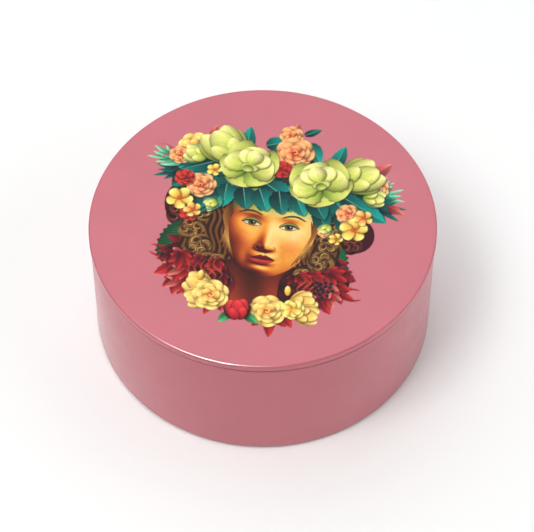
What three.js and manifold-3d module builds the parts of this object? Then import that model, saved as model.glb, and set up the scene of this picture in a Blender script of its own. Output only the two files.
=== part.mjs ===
// Round talcum powder tin: a drawn tinplate body, a printed plug lid, a rotary sifter and a puff.
// Millimetres, +Z up. The origin is the centre of the base and the front looks along -Y.
import * as THREE from 'three';
import { mergeVertices } from 'three/addons/utils/BufferGeometryUtils.js';
import Module from 'manifold-3d';

const wasm = await Module();
wasm.setup();

// Driving dimensions.
const TIN_HEIGHT = 45;
const LID_RADIUS = 53;
const BODY_RADIUS = 52.7;
const RIM_HEIGHT = 2.45; // the lid's turned-down rim
const SHEET = 0.35; // tinplate gauge
const GAP = 0.3; // between neighbouring pieces
const SIDES = 48; // facets round a turned piece
const ARC_STEPS = 2; // chords in a quarter of a bend
const HOLE_SIDES = 6;
const RIVET_SIDES = 24;

// Body shell.
const BODY_TOP = TIN_HEIGHT - RIM_HEIGHT - GAP;
const CURL_RADIUS = 0.65; // centre line of the curled mouth
const CURL_TAIL = 0.6;
const BASE_BEND = 1.5;
const FOOT_RISE = 0.8; // the base panel stands this far above the foot ring
const PANEL_RADIUS = 43;
const FOOT_INNER_RADIUS = 45;

// Lid.
const LID_BEND = 0.425;
const HEM_RADIUS = 0.3;
const PLUG_DEPTH = 6; // how far the plug ring reaches below the body's mouth
const WAD_THICKNESS = 0.6;

// Sifter.
const PLASTIC = 1; // wall of the sifter insert
const WELL_RADIUS = 31.5;
const WELL_FLOOR = 20.5;
const DECK_TOP = 25;
const SKIRT_BOTTOM = 14;
const DIAL_THICKNESS = 1.2;
const DIAL_OPENING_ANGLE = 15; // degrees from closed to open
const SPOKES = 12;
const HOLE_RINGS = [13, 20, 27];
const HOLE_RADIUS = 1.2;
const TAB = { inner: 5.5, outer: 11, width: 3, height: 2.2 };
const RIVET = { shank: 1.7, head: 3.2, headHeight: 1, domeShare: 0.8 };

// Powder, puff and label.
const POWDER_LEVEL = 17;
const POWDER_DROP = 0.4; // of the powder's edge below its middle
const PUFF_RADIUS = 48.3;
const PILE_THICKNESS = 3.4;
const BACKING_THICKNESS = 0.7;
const SEAM_HEIGHT = 7.6; // of the puff's seam above its pile face
const PUFF_CROWN = 3.6; // of the puff's back above its seam
const CROWN_STATIONS = [0, 0.3, 0.6, 0.9]; // shares of the radius where the crown has a corner
const CORE_BEND = 2.5; // of the foam's lower edge
const PIPING_RADIUS = 0.75;
const STRAP = { halfSpan: 43, width: 22, thickness: 0.6, endRise: 0.7, rise: 7.6, steps: 20 };
const LABEL = { radius: 40, thickness: 0.2, gap: 0.05 };

const QUARTER = Math.PI / 2;

/** Points on an arc in the profile plane, from one angle to another. */
function arc(x, z, radius, from, to) {
  const steps = Math.max(1, Math.round((ARC_STEPS * Math.abs(to - from)) / QUARTER));
  return Array.from({ length: steps + 1 }, (_, i) => {
    const angle = from + ((to - from) * i) / steps;
    return new THREE.Vector2(x + radius * Math.cos(angle), z + radius * Math.sin(angle));
  });
}

const at = (x, z) => new THREE.Vector2(x, z);

/** The closed outline of a bent strip: its centre line, moved half a gauge to each side. */
function strip(centreLine, gauge) {
  const side = (distance) =>
    centreLine.map((point, i) => {
      const before = centreLine[i - 1] ?? point;
      const after = centreLine[i + 1] ?? point;
      const arriving = point.clone().sub(before).normalize();
      const leaving = after.clone().sub(point).normalize();
      const along = arriving.clone().add(leaving).normalize();
      const mitre = Math.max(along.dot(arriving), along.dot(leaving));
      return at(point.x - (along.y * distance) / mitre, point.y + (along.x * distance) / mitre);
    });
  return [...side(gauge / 2), ...side(-gauge / 2).reverse()];
}

/** Drops everything but the positions and joins the corners that coincide. */
function bare(geometry) {
  geometry.deleteAttribute('normal');
  geometry.deleteAttribute('uv');
  return mergeVertices(geometry, 1e-5);
}

/** Revolves an outline about Z. An outline that leaves the axis free closes on itself. */
function turned(outline, sides = SIDES) {
  const points = outline[0].x > 0 ? [...outline, outline[0]] : outline;
  const area = points.reduce((sum, p, i) => {
    const q = points[(i + 1) % points.length];
    return sum + p.x * q.y - q.x * p.y;
  }, 0);
  const ordered = area > 0 ? points : [...points].reverse();
  return bare(new THREE.LatheGeometry(ordered, sides).rotateX(QUARTER));
}

/** A three.js geometry as a manifold-3d solid. */
function solid(geometry) {
  const vertProperties = new Float32Array(geometry.attributes.position.array);
  const triVerts = new Uint32Array(geometry.index.array);
  return new wasm.Manifold(new wasm.Mesh({ numProp: 3, vertProperties, triVerts }));
}

/** A manifold-3d solid as a three.js geometry. */
function geometryOf(body) {
  const mesh = body.getMesh();
  const geometry = new THREE.BufferGeometry();
  geometry.setAttribute('position', new THREE.BufferAttribute(mesh.vertProperties, 3));
  geometry.setIndex(new THREE.BufferAttribute(mesh.triVerts, 1));
  return geometry;
}

/** Cylindrical cutters for the rows of sifting holes, turned by an angle. */
function siftingHoles(low, high, turn) {
  const cutters = [];
  for (let spoke = 0; spoke < SPOKES; spoke += 1) {
    const angle = turn + (spoke * 2 * Math.PI) / SPOKES;
    for (const ring of HOLE_RINGS) {
      const cutter = new THREE.CylinderGeometry(HOLE_RADIUS, HOLE_RADIUS, high - low, HOLE_SIDES);
      cutter.rotateX(QUARTER);
      cutter.translate(ring * Math.cos(angle), ring * Math.sin(angle), (low + high) / 2);
      cutters.push(solid(bare(cutter)));
    }
  }
  return cutters;
}

function rivetHole(low, high) {
  const radius = RIVET.shank + GAP;
  return solid(turned([at(0, low), at(radius, low), at(radius, high), at(0, high)], RIVET_SIDES));
}

const tin = new THREE.Group();

function add(name, geometry, color, roughness, metalness = 0) {
  const mesh = new THREE.Mesh(
    geometry,
    new THREE.MeshStandardMaterial({ color, roughness, metalness }),
  );
  mesh.name = name;
  tin.add(mesh);
}

const PINK_LACQUER = '#d67f8a';
const TINPLATE = '#c9c6bf';
const CREAM_PLASTIC = '#efe6da';
const SATIN = '#e3a3ad';

/** Seamless drawn body: recessed base panel, foot ring, plain wall and a mouth curled inwards. */
function bodyShell() {
  const half = SHEET / 2;
  const wall = BODY_RADIUS - half;
  const curlCentre = BODY_TOP - CURL_RADIUS - half;
  const bend = BASE_BEND - half;
  return turned(
    strip(
      [
        at(0, FOOT_RISE + half),
        at(PANEL_RADIUS, FOOT_RISE + half),
        at(FOOT_INNER_RADIUS, half),
        ...arc(wall - bend, half + bend, bend, -QUARTER, 0),
        ...arc(wall - CURL_RADIUS, curlCentre, CURL_RADIUS, 0, 2 * QUARTER),
        at(wall - 2 * CURL_RADIUS, curlCentre - CURL_TAIL),
      ],
      SHEET,
    ),
  );
}

/** Flat printed panel, its rim turned down and hemmed so that the hem traps the plug ring. */
function lidPanel() {
  const half = SHEET / 2;
  const rim = LID_RADIUS - half;
  const top = TIN_HEIGHT - half;
  const hemCentre = TIN_HEIGHT - RIM_HEIGHT + HEM_RADIUS + half;
  const hemTop = TIN_HEIGHT - 2 * SHEET - 2 * GAP;
  return turned(
    strip(
      [
        at(0, top),
        ...arc(rim - LID_BEND, top - LID_BEND, LID_BEND, QUARTER, 0),
        ...arc(rim - HEM_RADIUS, hemCentre, HEM_RADIUS, 0, -2 * QUARTER),
        at(rim - 2 * HEM_RADIUS, hemTop),
      ],
      SHEET,
    ),
  );
}

/** Ring that plugs the body's mouth: a flange under the panel and a skirt with a rolled end. */
function lidPlugRing() {
  const half = SHEET / 2;
  const mouth = BODY_RADIUS - SHEET - 2 * CURL_RADIUS;
  const skirt = mouth - GAP - half;
  const flangeEnd = LID_RADIUS - SHEET - GAP;
  const flange = TIN_HEIGHT - SHEET - GAP - half;
  const bottom = BODY_TOP - PLUG_DEPTH;
  return turned(
    strip(
      [
        at(flangeEnd, flange),
        ...arc(skirt + LID_BEND, flange - LID_BEND, LID_BEND, QUARTER, 2 * QUARTER),
        ...arc(skirt - LID_BEND, bottom + LID_BEND, LID_BEND, 0, -2 * QUARTER),
      ],
      SHEET,
    ),
  );
}

/** Pulpboard disc under the lid panel. */
function lidWad() {
  const top = TIN_HEIGHT - SHEET - GAP;
  const radius = BODY_RADIUS - 2 * SHEET - 2 * CURL_RADIUS - 2 * GAP;
  const bottom = top - WAD_THICKNESS;
  return turned([at(0, bottom), at(radius, bottom), at(radius, top), at(0, top)]);
}

/** Moulded insert that snaps in under the curl: a raised deck, a perforated well and a skirt. */
function sifterInsert() {
  const half = PLASTIC / 2;
  const skirt = BODY_RADIUS - SHEET - GAP - half;
  const shell = turned(
    strip(
      [
        at(0, WELL_FLOOR - half),
        at(WELL_RADIUS + half, WELL_FLOOR - half),
        at(WELL_RADIUS + half, DECK_TOP - half),
        at(skirt, DECK_TOP - half),
        at(skirt, SKIRT_BOTTOM),
      ],
      PLASTIC,
    ),
  );
  const low = WELL_FLOOR - 2 * PLASTIC;
  const high = WELL_FLOOR + PLASTIC;
  const cutters = [...siftingHoles(low, high, 0), rivetHole(low, high)];
  return geometryOf(cutters.reduce((body, cutter) => body.subtract(cutter), solid(shell)));
}

/** Rotary shutter with the same holes, which cover each other when the dial is turned open. */
function sifterDial() {
  const low = WELL_FLOOR + GAP;
  const high = low + DIAL_THICKNESS;
  const radius = WELL_RADIUS - GAP;
  const disc = turned([at(0, low), at(radius, low), at(radius, high), at(0, high)]);
  const closed = THREE.MathUtils.degToRad(-DIAL_OPENING_ANGLE);
  const cutters = [...siftingHoles(low - 1, high + 1, closed), rivetHole(low - 1, high + 1)];
  let dial = cutters.reduce((body, cutter) => body.subtract(cutter), solid(disc));
  for (const side of [-1, 1]) {
    const height = TAB.height + DIAL_THICKNESS / 2;
    const tab = new THREE.BoxGeometry(TAB.outer - TAB.inner, TAB.width, height);
    tab.translate((side * (TAB.outer + TAB.inner)) / 2, 0, high + TAB.height - height / 2);
    dial = dial.add(solid(bare(tab)));
  }
  return geometryOf(dial);
}

/** Rivet that the dial turns on, headed below the well and above the dial. */
function dialRivet() {
  const headLow = WELL_FLOOR - PLASTIC - GAP;
  const headHigh = WELL_FLOOR + DIAL_THICKNESS + 2 * GAP;
  return turned(
    [
      at(0, headLow - RIVET.headHeight),
      at(RIVET.head, headLow - RIVET.headHeight),
      at(RIVET.head, headLow),
      at(RIVET.shank, headLow),
      at(RIVET.shank, headHigh),
      at(RIVET.head, headHigh),
      at(RIVET.head * RIVET.domeShare, headHigh + RIVET.headHeight),
      at(0, headHigh + RIVET.headHeight),
    ],
    RIVET_SIDES,
  );
}

/** Talc lying on the base panel, a little heaped in the middle. */
function talcFill() {
  const low = FOOT_RISE + SHEET + GAP;
  const radius = BODY_RADIUS - SHEET - PLASTIC - 2 * GAP;
  return turned([
    at(0, low),
    at(radius, low),
    at(radius, POWDER_LEVEL - POWDER_DROP),
    at(radius / 2, POWDER_LEVEL),
    at(0, POWDER_LEVEL),
  ]);
}

const puffBase = DECK_TOP + GAP;
const puffSeam = puffBase + SEAM_HEIGHT;

/** Height of the puff's crowned back above its seam, at a radius. */
const crown = (x) => PUFF_CROWN * Math.cos((QUARTER * x) / PUFF_RADIUS);

/** Velour face of the puff: a soft dish that holds the foam. */
function puffPile() {
  const inner = PUFF_RADIUS - PILE_THICKNESS;
  const bend = SEAM_HEIGHT - PILE_THICKNESS / 2;
  const floor = puffBase + PILE_THICKNESS;
  const hollow = bend - PILE_THICKNESS;
  return turned([
    at(0, puffBase),
    ...arc(PUFF_RADIUS - bend, puffBase + bend, bend, -QUARTER, 0),
    at(PUFF_RADIUS, puffSeam),
    at(inner, puffSeam),
    ...arc(inner - hollow, floor + hollow, hollow, 0, -QUARTER),
    at(0, floor),
  ]);
}

/** Foam disc between the velour and the satin. */
function puffCore() {
  const radius = PUFF_RADIUS - PILE_THICKNESS - GAP;
  const floor = puffBase + PILE_THICKNESS + GAP;
  const back = CROWN_STATIONS.map((share) => at(radius * share, puffSeam - GAP + crown(radius * share)));
  return turned([
    at(0, floor),
    ...arc(radius - CORE_BEND, floor + CORE_BEND, CORE_BEND, -QUARTER, 0),
    at(radius, puffSeam - GAP),
    ...back.reverse(),
  ]);
}

/** Satin back of the puff, crowned over the foam. */
function puffBacking() {
  const radius = PUFF_RADIUS - 2 * PIPING_RADIUS - GAP;
  const line = [...CROWN_STATIONS, 1].map((share) =>
    at(radius * share, puffSeam + GAP + BACKING_THICKNESS / 2 + crown(radius * share)),
  );
  return turned(strip(line, BACKING_THICKNESS));
}

/** Piping sewn round the puff's edge. */
function puffPiping() {
  const level = puffSeam + GAP + PIPING_RADIUS;
  const ring = arc(PUFF_RADIUS - PIPING_RADIUS, level, PIPING_RADIUS, 0, 4 * QUARTER);
  return turned(ring.slice(0, -1));
}

/** Ribbon strap arching over the puff's back from side to side. */
function puffStrap() {
  const foot = puffSeam + GAP + BACKING_THICKNESS + crown(STRAP.halfSpan) + STRAP.endRise;
  const line = Array.from({ length: STRAP.steps + 1 }, (_, i) => {
    const x = STRAP.halfSpan * ((2 * i) / STRAP.steps - 1);
    return at(x, foot + STRAP.rise * Math.cos((QUARTER * x) / STRAP.halfSpan));
  });
  const shape = new THREE.Shape(strip(line, STRAP.thickness));
  const ribbon = new THREE.ExtrudeGeometry(shape, { depth: STRAP.width, bevelEnabled: false });
  return bare(ribbon.rotateX(QUARTER).translate(0, STRAP.width / 2, 0));
}

/** Plain paper label in the recess of the base. */
function baseLabel() {
  const high = FOOT_RISE - LABEL.gap;
  const low = high - LABEL.thickness;
  return turned([at(0, low), at(LABEL.radius, low), at(LABEL.radius, high), at(0, high)]);
}

add('body_shell', bodyShell(), PINK_LACQUER, 0.3, 0.2);
add('base_label', baseLabel(), '#ece4d6', 0.8);
add('talc_fill', talcFill(), '#f6f2ec', 1);
add('sifter_insert', sifterInsert(), CREAM_PLASTIC, 0.45);
add('sifter_dial', sifterDial(), CREAM_PLASTIC, 0.4);
add('dial_rivet', dialRivet(), '#c9a95f', 0.3, 1);
add('puff_pile', puffPile(), '#f3d9d6', 1);
add('puff_core', puffCore(), '#efe9dc', 0.9);
add('puff_backing', puffBacking(), SATIN, 0.4);
add('puff_piping', puffPiping(), SATIN, 0.4);
add('puff_strap', puffStrap(), SATIN, 0.35);
add('lid_panel', lidPanel(), PINK_LACQUER, 0.3, 0.2);
add('lid_plug_ring', lidPlugRing(), TINPLATE, 0.35, 1);
add('lid_wad', lidWad(), '#d8cbb2', 0.9);

export default tin;
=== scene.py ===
import math

import bmesh
import bpy
import numpy as np
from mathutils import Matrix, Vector
from mathutils.bvhtree import BVHTree


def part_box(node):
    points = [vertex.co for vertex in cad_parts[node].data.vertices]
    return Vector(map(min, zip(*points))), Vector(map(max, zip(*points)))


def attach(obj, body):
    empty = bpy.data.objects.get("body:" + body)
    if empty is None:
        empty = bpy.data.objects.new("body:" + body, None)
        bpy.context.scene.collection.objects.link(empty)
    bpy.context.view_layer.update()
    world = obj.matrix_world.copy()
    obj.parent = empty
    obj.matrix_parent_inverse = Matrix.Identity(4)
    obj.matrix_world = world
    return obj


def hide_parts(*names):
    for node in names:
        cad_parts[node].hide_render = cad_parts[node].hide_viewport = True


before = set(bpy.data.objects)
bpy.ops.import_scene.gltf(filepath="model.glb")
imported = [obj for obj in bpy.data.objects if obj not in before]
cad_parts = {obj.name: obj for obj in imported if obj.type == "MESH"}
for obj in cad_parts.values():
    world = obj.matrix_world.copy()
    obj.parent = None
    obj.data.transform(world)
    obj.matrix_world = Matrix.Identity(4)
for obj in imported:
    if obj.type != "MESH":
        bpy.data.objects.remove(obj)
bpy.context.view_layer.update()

# A round talcum powder tin. Everything is in metres, in the row frame: +Z up, the front towards -Y.

MM = 0.001
QUARTER = math.pi / 2


def corner(node, side):
    """The lowest (0) or highest (1) corner of a CAD node."""
    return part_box(node)[side]


# Sizes that the frame gives.
TIN_TOP = corner("lid_panel", 1)[2]
RIM_BOTTOM = corner("lid_panel", 0)[2]
LID_RADIUS = corner("lid_panel", 1)[0]
BODY_TOP = corner("body_shell", 1)[2]
BODY_RADIUS = corner("body_shell", 1)[0]
PLUG_BOTTOM = corner("lid_plug_ring", 0)[2]
FLANGE_RADIUS = corner("lid_plug_ring", 1)[0]
FLANGE_TOP = corner("lid_plug_ring", 1)[2]
SKIRT_BOTTOM = corner("sifter_insert", 0)[2]
DECK_TOP = corner("sifter_insert", 1)[2]
SKIRT_RADIUS = corner("sifter_insert", 1)[0]
DIAL_BOTTOM = corner("sifter_dial", 0)[2]
TAB_TOP = corner("sifter_dial", 1)[2]
DIAL_RADIUS = corner("sifter_dial", 1)[1]
PUFF_RADIUS = corner("puff_pile", 1)[0]
PUFF_BASE = corner("puff_pile", 0)[2]
PUFF_SEAM = corner("puff_pile", 1)[2]
PUFF_TOP = corner("puff_backing", 1)[2]

# Sizes of the sheet metal and the mouldings.
SHEET = 0.35 * MM
GAP = 0.3 * MM
CURL_RADIUS = 0.65 * MM
CURL_TAIL = 0.6 * MM
BASE_BEND = 1.5 * MM
FOOT_BEND = 0.6 * MM
FOOT_RISE = 0.8 * MM
PANEL_RADIUS = 43 * MM
FOOT_INNER_RADIUS = 45 * MM
LID_BEND = 0.425 * MM
HEM_RADIUS = 0.3 * MM
PLASTIC = 1 * MM
WELL_RADIUS = 31.5 * MM
DIAL_THICKNESS = 1.2 * MM
WELL_FLOOR = DIAL_BOTTOM - GAP
WELL_BEND = 0.9 * MM
HOLE_RADIUS = 1.2 * MM
HOLE_SINK = 0.25 * MM  # depth of each hole's countersink
HOLE_RINGS = [13 * MM, 20 * MM, 27 * MM]
SPOKES = 12
TAB_INNER = 5.5 * MM
TAB_OUTER = 11 * MM
TAB_WIDTH = 3 * MM
TAB_BEVEL = 0.5 * MM
RIVET_SHANK = 1.7 * MM
RIVET_HEAD_HEIGHT = 1 * MM
RIVET_BEND = 0.4 * MM
TALC_DROP = 0.6 * MM  # of the powder's edge below its middle
TALC_RIPPLE = 0.35 * MM

TURNS = 256  # facets round a turned piece
BEND_STEPS = 6  # chords in a quarter of a bend
FLOOR_HALF = 4  # half the side of the floor


# Camera, floor and light.

CAMERA_DISTANCE = 741 * MM
CAMERA_ELEVATION = math.radians(53.74)
CAMERA_ASIDE = 1.28 * MM
LENS = 160.3
SENSOR = 36.0
SKY_STRENGTH = 0.36


def direction(azimuth, elevation):
    """The unit vector towards an azimuth, counted from +X, and an elevation, in degrees."""
    a, e = math.radians(azimuth), math.radians(elevation)
    return Vector((math.cos(a) * math.cos(e), math.sin(a) * math.cos(e), math.sin(e)))


def add_object(name, data):
    thing = bpy.data.objects.new(name, data)
    bpy.context.collection.objects.link(thing)
    return thing


def aim(thing, target):
    thing.rotation_euler = (target - thing.location).to_track_quat("-Z", "Y").to_euler()


def make_camera():
    data = bpy.data.cameras.new("camera")
    data.lens = LENS
    data.sensor_width = SENSOR
    data.clip_start = 0.01
    camera = add_object("camera", data)
    target = Vector((CAMERA_ASIDE, 0, TIN_TOP / 2))
    back = Vector((0, -math.cos(CAMERA_ELEVATION), math.sin(CAMERA_ELEVATION)))
    camera.location = target + CAMERA_DISTANCE * back
    aim(camera, target)
    bpy.context.scene.camera = camera


def softbox(name, azimuth, elevation, distance, size, watts, colour=(1, 1, 1)):
    """A rectangular lamp that looks at the middle of the tin."""
    data = bpy.data.lights.new(name, "AREA")
    data.shape = "RECTANGLE"
    data.size, data.size_y = size
    data.energy = watts
    data.color = colour
    light = add_object(name, data)
    centre = Vector((0, 0, TIN_TOP / 2))
    light.location = centre + distance * direction(azimuth, elevation)
    aim(light, centre)
    return light


def make_light():
    softbox("key_softbox", 219.5, 60, 1.1, (0.42, 0.42), 4.65, (1, 0.985, 0.96))
    softbox("back_softbox", 110, 66, 0.9, (1.2, 0.8), 4.3, (0.97, 0.985, 1))
    softbox("right_softbox", -8, 32, 1.0, (0.9, 0.6), 2.2)
    # A strip that only glossy surfaces pick up, for the glint on the lid's corner.
    strip_light = softbox("glint_strip", 229.5, 60, 1.1, (0.45, 0.10), 42)
    strip_light.visible_diffuse = False
    world = bpy.data.worlds.new("studio")
    world.use_nodes = True
    background = world.node_tree.nodes["Background"]
    background.inputs["Color"].default_value = (1, 1, 1, 1)
    background.inputs["Strength"].default_value = SKY_STRENGTH
    bpy.context.scene.world = world
    bpy.context.scene.view_settings.view_transform = "Standard"


# Node helpers.


class Shader:
    """A principled material whose sockets take numbers, colours or the outputs of nodes."""

    def __init__(self, name):
        self.material = bpy.data.materials.new(name)
        self.material.use_nodes = True
        self.tree = self.material.node_tree
        self.surface = self.tree.nodes["Principled BSDF"]

    def put(self, socket, value):
        if hasattr(value, "links"):
            self.tree.links.new(value, socket)
        else:
            socket.default_value = value

    def set(self, **values):
        for name, value in values.items():
            self.put(self.surface.inputs[name.replace("_", " ")], value)

    def node(self, kind, output=0, settings=None, **values):
        node = self.tree.nodes.new(kind)
        for name, value in (settings or {}).items():
            setattr(node, name, value)
        for key, value in values.items():
            index = int(key[1:]) if key[1:].isdigit() else key.replace("_", " ")
            self.put(node.inputs[index], value)
        return node.outputs[output]

    def place(self):
        return self.node("ShaderNodeTexCoord", "Object")

    def stretched(self, scale):
        return self.node("ShaderNodeMapping", Vector=self.place(), Scale=scale)

    def noise(self, scale, detail=2.0, rough=0.5, where=None):
        vector = self.place() if where is None else where
        values = {"Vector": vector, "Scale": scale, "Detail": detail, "Roughness": rough}
        return self.node("ShaderNodeTexNoise", "Fac", None, **values)

    def spread(self, value, low, high, start=0.3, end=0.7):
        return self.node(
            "ShaderNodeMapRange", 0, None, Value=value, From_Min=start, From_Max=end, To_Min=low, To_Max=high
        )

    def between(self, share, first, second):
        """Mixes two colours by a share."""
        settings = {"data_type": "RGBA"}
        return self.node("ShaderNodeMix", 2, settings, i0=share, i6=first, i7=second)

    def math(self, operation, first, second=0.0):
        return self.node("ShaderNodeMath", 0, {"operation": operation}, i0=first, i1=second)

    def bump(self, height, depth, strength=1.0, after=None):
        values = {"Height": height, "Distance": depth, "Strength": strength}
        if after is not None:
            values["Normal"] = after
        return self.node("ShaderNodeBump", 0, None, **values)


def shade(colour, factor):
    """A colour times a factor, opaque."""
    return tuple(min(1, c * factor) for c in colour[:3]) + (1,)


PINK = (0.53, 0.112, 0.148)  # the tin's lacquer


def lacquer():
    """Pink stoving lacquer: a little cloudy, with a faint orange peel under a glossy coat."""
    s = Shader("pink_lacquer")
    cloud = s.spread(s.noise(45, 3), 0, 1)
    colour = s.between(cloud, shade(PINK, 0.97), shade(PINK, 1.03))
    peel = s.bump(s.noise(1100, 2), 0.002 * MM, 0.5)
    s.set(
        Base_Color=colour,
        Roughness=s.spread(s.noise(160, 4), 0.30, 0.38),
        Normal=peel,
        IOR=1.5,
        Coat_Weight=0.4,
        Coat_Roughness=0.07,
    )
    return s.material


def gold_tinplate():
    """Tinplate under a clear gold lacquer, with the rolling marks just showing through."""
    s = Shader("gold_tinplate")
    rolled = s.noise(900, 3, 0.5, s.stretched((1, 1, 0.04)))
    cloud = s.noise(70, 3)
    gold = (0.80, 0.62, 0.33)
    s.set(
        Base_Color=s.between(s.spread(cloud, 0, 1), shade(gold, 0.95), shade(gold, 1.04)),
        Metallic=0.92,
        Roughness=s.spread(rolled, 0.27, 0.36),
        Normal=s.bump(rolled, 0.004 * MM, 0.4),
        Coat_Weight=0.5,
        Coat_Roughness=0.1,
        Coat_Tint=(1, 0.9, 0.68, 1),
    )
    return s.material


def moulded(name, colour):
    """Injection-moulded plastic with a finely sparked surface and a trace of talc."""
    s = Shader(name)
    dust = s.spread(s.noise(90, 5, 0.65), 0, 0.35, 0.5, 0.75)
    s.set(
        Base_Color=s.between(dust, shade(colour, 1), (0.93, 0.91, 0.88, 1)),
        Roughness=s.spread(s.noise(300, 3), 0.34, 0.5),
        Normal=s.bump(s.noise(4200, 1), 0.01 * MM, 0.5),
        Subsurface_Weight=0.08,
        Subsurface_Scale=1.5 * MM,
    )
    return s.material


def brass():
    s = Shader("rivet_brass")
    grain = s.noise(2600, 3)
    s.set(
        Base_Color=s.between(grain, (0.62, 0.42, 0.16, 1), (0.84, 0.62, 0.27, 1)),
        Metallic=1.0,
        Roughness=s.spread(grain, 0.18, 0.34),
    )
    return s.material


def talc():
    s = Shader("talc")
    grain = s.noise(5200, 5, 0.7)
    # Where the lumps' noise is low the colour is darker: painted shade in the hollows between the lumps.
    lumps = s.noise(420, 4, 0.6)
    fine = s.bump(grain, 0.05 * MM, 0.8)
    s.set(
        Base_Color=s.between(lumps, (0.86, 0.84, 0.80, 1), (0.94, 0.93, 0.90, 1)),
        Roughness=1.0,
        Normal=s.bump(lumps, 0.3 * MM, 0.6, fine),
        Subsurface_Weight=0.15,
        Subsurface_Scale=0.8 * MM,
    )
    return s.material


def board(name, light, dark):
    """Uncoated board or paper, with fibres."""
    s = Shader(name)
    fibres = s.noise(900, 6, 0.75, s.stretched((1, 2.4, 1)))
    specks = s.spread(s.noise(1700, 2), 0, 1, 0.62, 0.72)
    base = s.between(fibres, shade(dark, 1), shade(light, 1))
    s.set(
        Base_Color=s.between(specks, base, shade(dark, 0.8)),
        Roughness=s.spread(fibres, 0.82, 0.95),
        Normal=s.bump(fibres, 0.05 * MM, 0.7),
    )
    return s.material


def ruled_label():
    """Cream paper with two printed rings and nothing written on it."""
    s = Shader("label_paper")
    fibres = s.noise(1500, 5, 0.7)
    paper = s.between(fibres, (0.80, 0.76, 0.68, 1), (0.90, 0.87, 0.80, 1))
    x, y, _ = s.node("ShaderNodeSeparateXYZ", 0, None, Vector=s.place()).node.outputs
    squares = s.math("ADD", s.math("MULTIPLY", x, x), s.math("MULTIPLY", y, y))
    radius = s.math("SQRT", squares)
    for ring_radius, width in ((36.5 * MM, 0.5 * MM), (35 * MM, 0.15 * MM)):
        away = s.math("ABSOLUTE", s.math("SUBTRACT", radius, ring_radius))
        paper = s.between(s.math("LESS_THAN", away, width / 2), paper, shade(PINK, 0.8))
    s.set(Base_Color=paper, Roughness=s.spread(fibres, 0.6, 0.75), Normal=s.bump(fibres, 0.02 * MM, 0.6))
    return s.material


def velour():
    s = Shader("velour")
    # The pile's noise also darkens the colour where the pile is low: painted shade in its hollows.
    pile = s.noise(1500, 5, 0.75)
    brushed = s.noise(60, 3)
    base = s.between(brushed, (0.74, 0.47, 0.49, 1), (0.84, 0.60, 0.61, 1))
    s.set(
        Base_Color=s.between(pile, shade((0.62, 0.36, 0.38), 1), base),
        Roughness=0.95,
        Normal=s.bump(pile, 0.35 * MM, 1.0),
        Sheen_Weight=0.8,
        Sheen_Roughness=0.4,
        Sheen_Tint=(1, 0.86, 0.86, 1),
    )
    return s.material


def satin(name, colour):
    """Satin weave: fine threads, glossy along the warp."""
    s = Shader(name)
    warp = s.noise(2200, 2, 0.5, s.stretched((1, 0.12, 0.12)))
    slub = s.noise(120, 3)
    s.set(
        Base_Color=s.between(slub, shade(colour, 0.86), shade(colour, 1.1)),
        Roughness=s.spread(warp, 0.28, 0.46),
        Normal=s.bump(warp, 0.03 * MM, 0.7),
        Sheen_Weight=0.3,
        Sheen_Roughness=0.3,
        Anisotropic=0.5,
    )
    return s.material


def foam():
    """Open-cell foam. Its colour darkens towards the middle of each cell, where the bump sinks into a pore:
    painted shade.
    """
    s = Shader("foam")
    cells = s.node("ShaderNodeTexVoronoi", "Distance", {"feature": "F1"}, Vector=s.place(), Scale=1400)
    s.set(
        Base_Color=s.between(s.spread(cells, 0, 1, 0, 0.8), (0.62, 0.55, 0.40, 1), (0.80, 0.74, 0.60, 1)),
        Roughness=0.95,
        Normal=s.bump(cells, 0.2 * MM, 1.0),
    )
    return s.material


def floor_paper():
    s = Shader("floor_paper")
    s.set(
        Base_Color=s.between(s.noise(3, 2), (0.905, 0.92, 0.915, 1), (0.925, 0.94, 0.935, 1)),
        Roughness=0.9,
        Specular_IOR_Level=0.1,
    )
    return s.material


# Mesh helpers.


def arc(radius, height, bend, start, end, steps=BEND_STEPS):
    """Points on an arc in the profile plane; the angles are in quarters of a turn."""
    count = max(1, round(steps * abs(end - start)))
    angles = [QUARTER * (start + (end - start) * i / count) for i in range(count + 1)]
    return [(radius + bend * math.cos(a), height + bend * math.sin(a)) for a in angles]


def strip(line, gauge):
    """The outline of a bent strip, from its centre line: the outer side, then the inner side back."""
    points = np.array(line, float)
    before = np.vstack([points[:1], points[:-1]])
    after = np.vstack([points[1:], points[-1:]])
    arriving, leaving = points - before, after - points
    arriving[0], leaving[-1] = leaving[0], arriving[-1]
    arriving /= np.linalg.norm(arriving, axis=1, keepdims=True)
    leaving /= np.linalg.norm(leaving, axis=1, keepdims=True)
    along = arriving + leaving
    along /= np.linalg.norm(along, axis=1, keepdims=True)
    mitre = (along * arriving).sum(axis=1, keepdims=True)
    across = np.stack([along[:, 1], -along[:, 0]], axis=1) / mitre
    outer, inner = points + across * gauge / 2, (points - across * gauge / 2)[::-1]
    return [tuple(p) for p in outer] + [tuple(p) for p in inner]


def grid_faces(rows, columns, rows_close=False, columns_close=False, first=0):
    """The quads of a grid of corners that are numbered row by row, from the number first on."""

    def number(i, j):
        return first + i % rows * columns + j % columns

    return [
        (number(i, j), number(i + 1, j), number(i + 1, j + 1), number(i, j + 1))
        for i in range(rows if rows_close else rows - 1)
        for j in range(columns if columns_close else columns - 1)
    ]


def new_piece(name, points, faces, materials, slots=None, sharp=40):
    """A smooth-shaded mesh object, with its normals outwards and its sharp edges marked."""
    mesh = bpy.data.meshes.new(name)
    mesh.from_pydata([tuple(p) for p in points], [], faces)
    for material in materials:
        mesh.materials.append(material)
    if slots is not None:
        mesh.polygons.foreach_set("material_index", slots)
    piece = add_object(name, mesh)
    finish_mesh(piece, sharp)
    return piece


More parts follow.
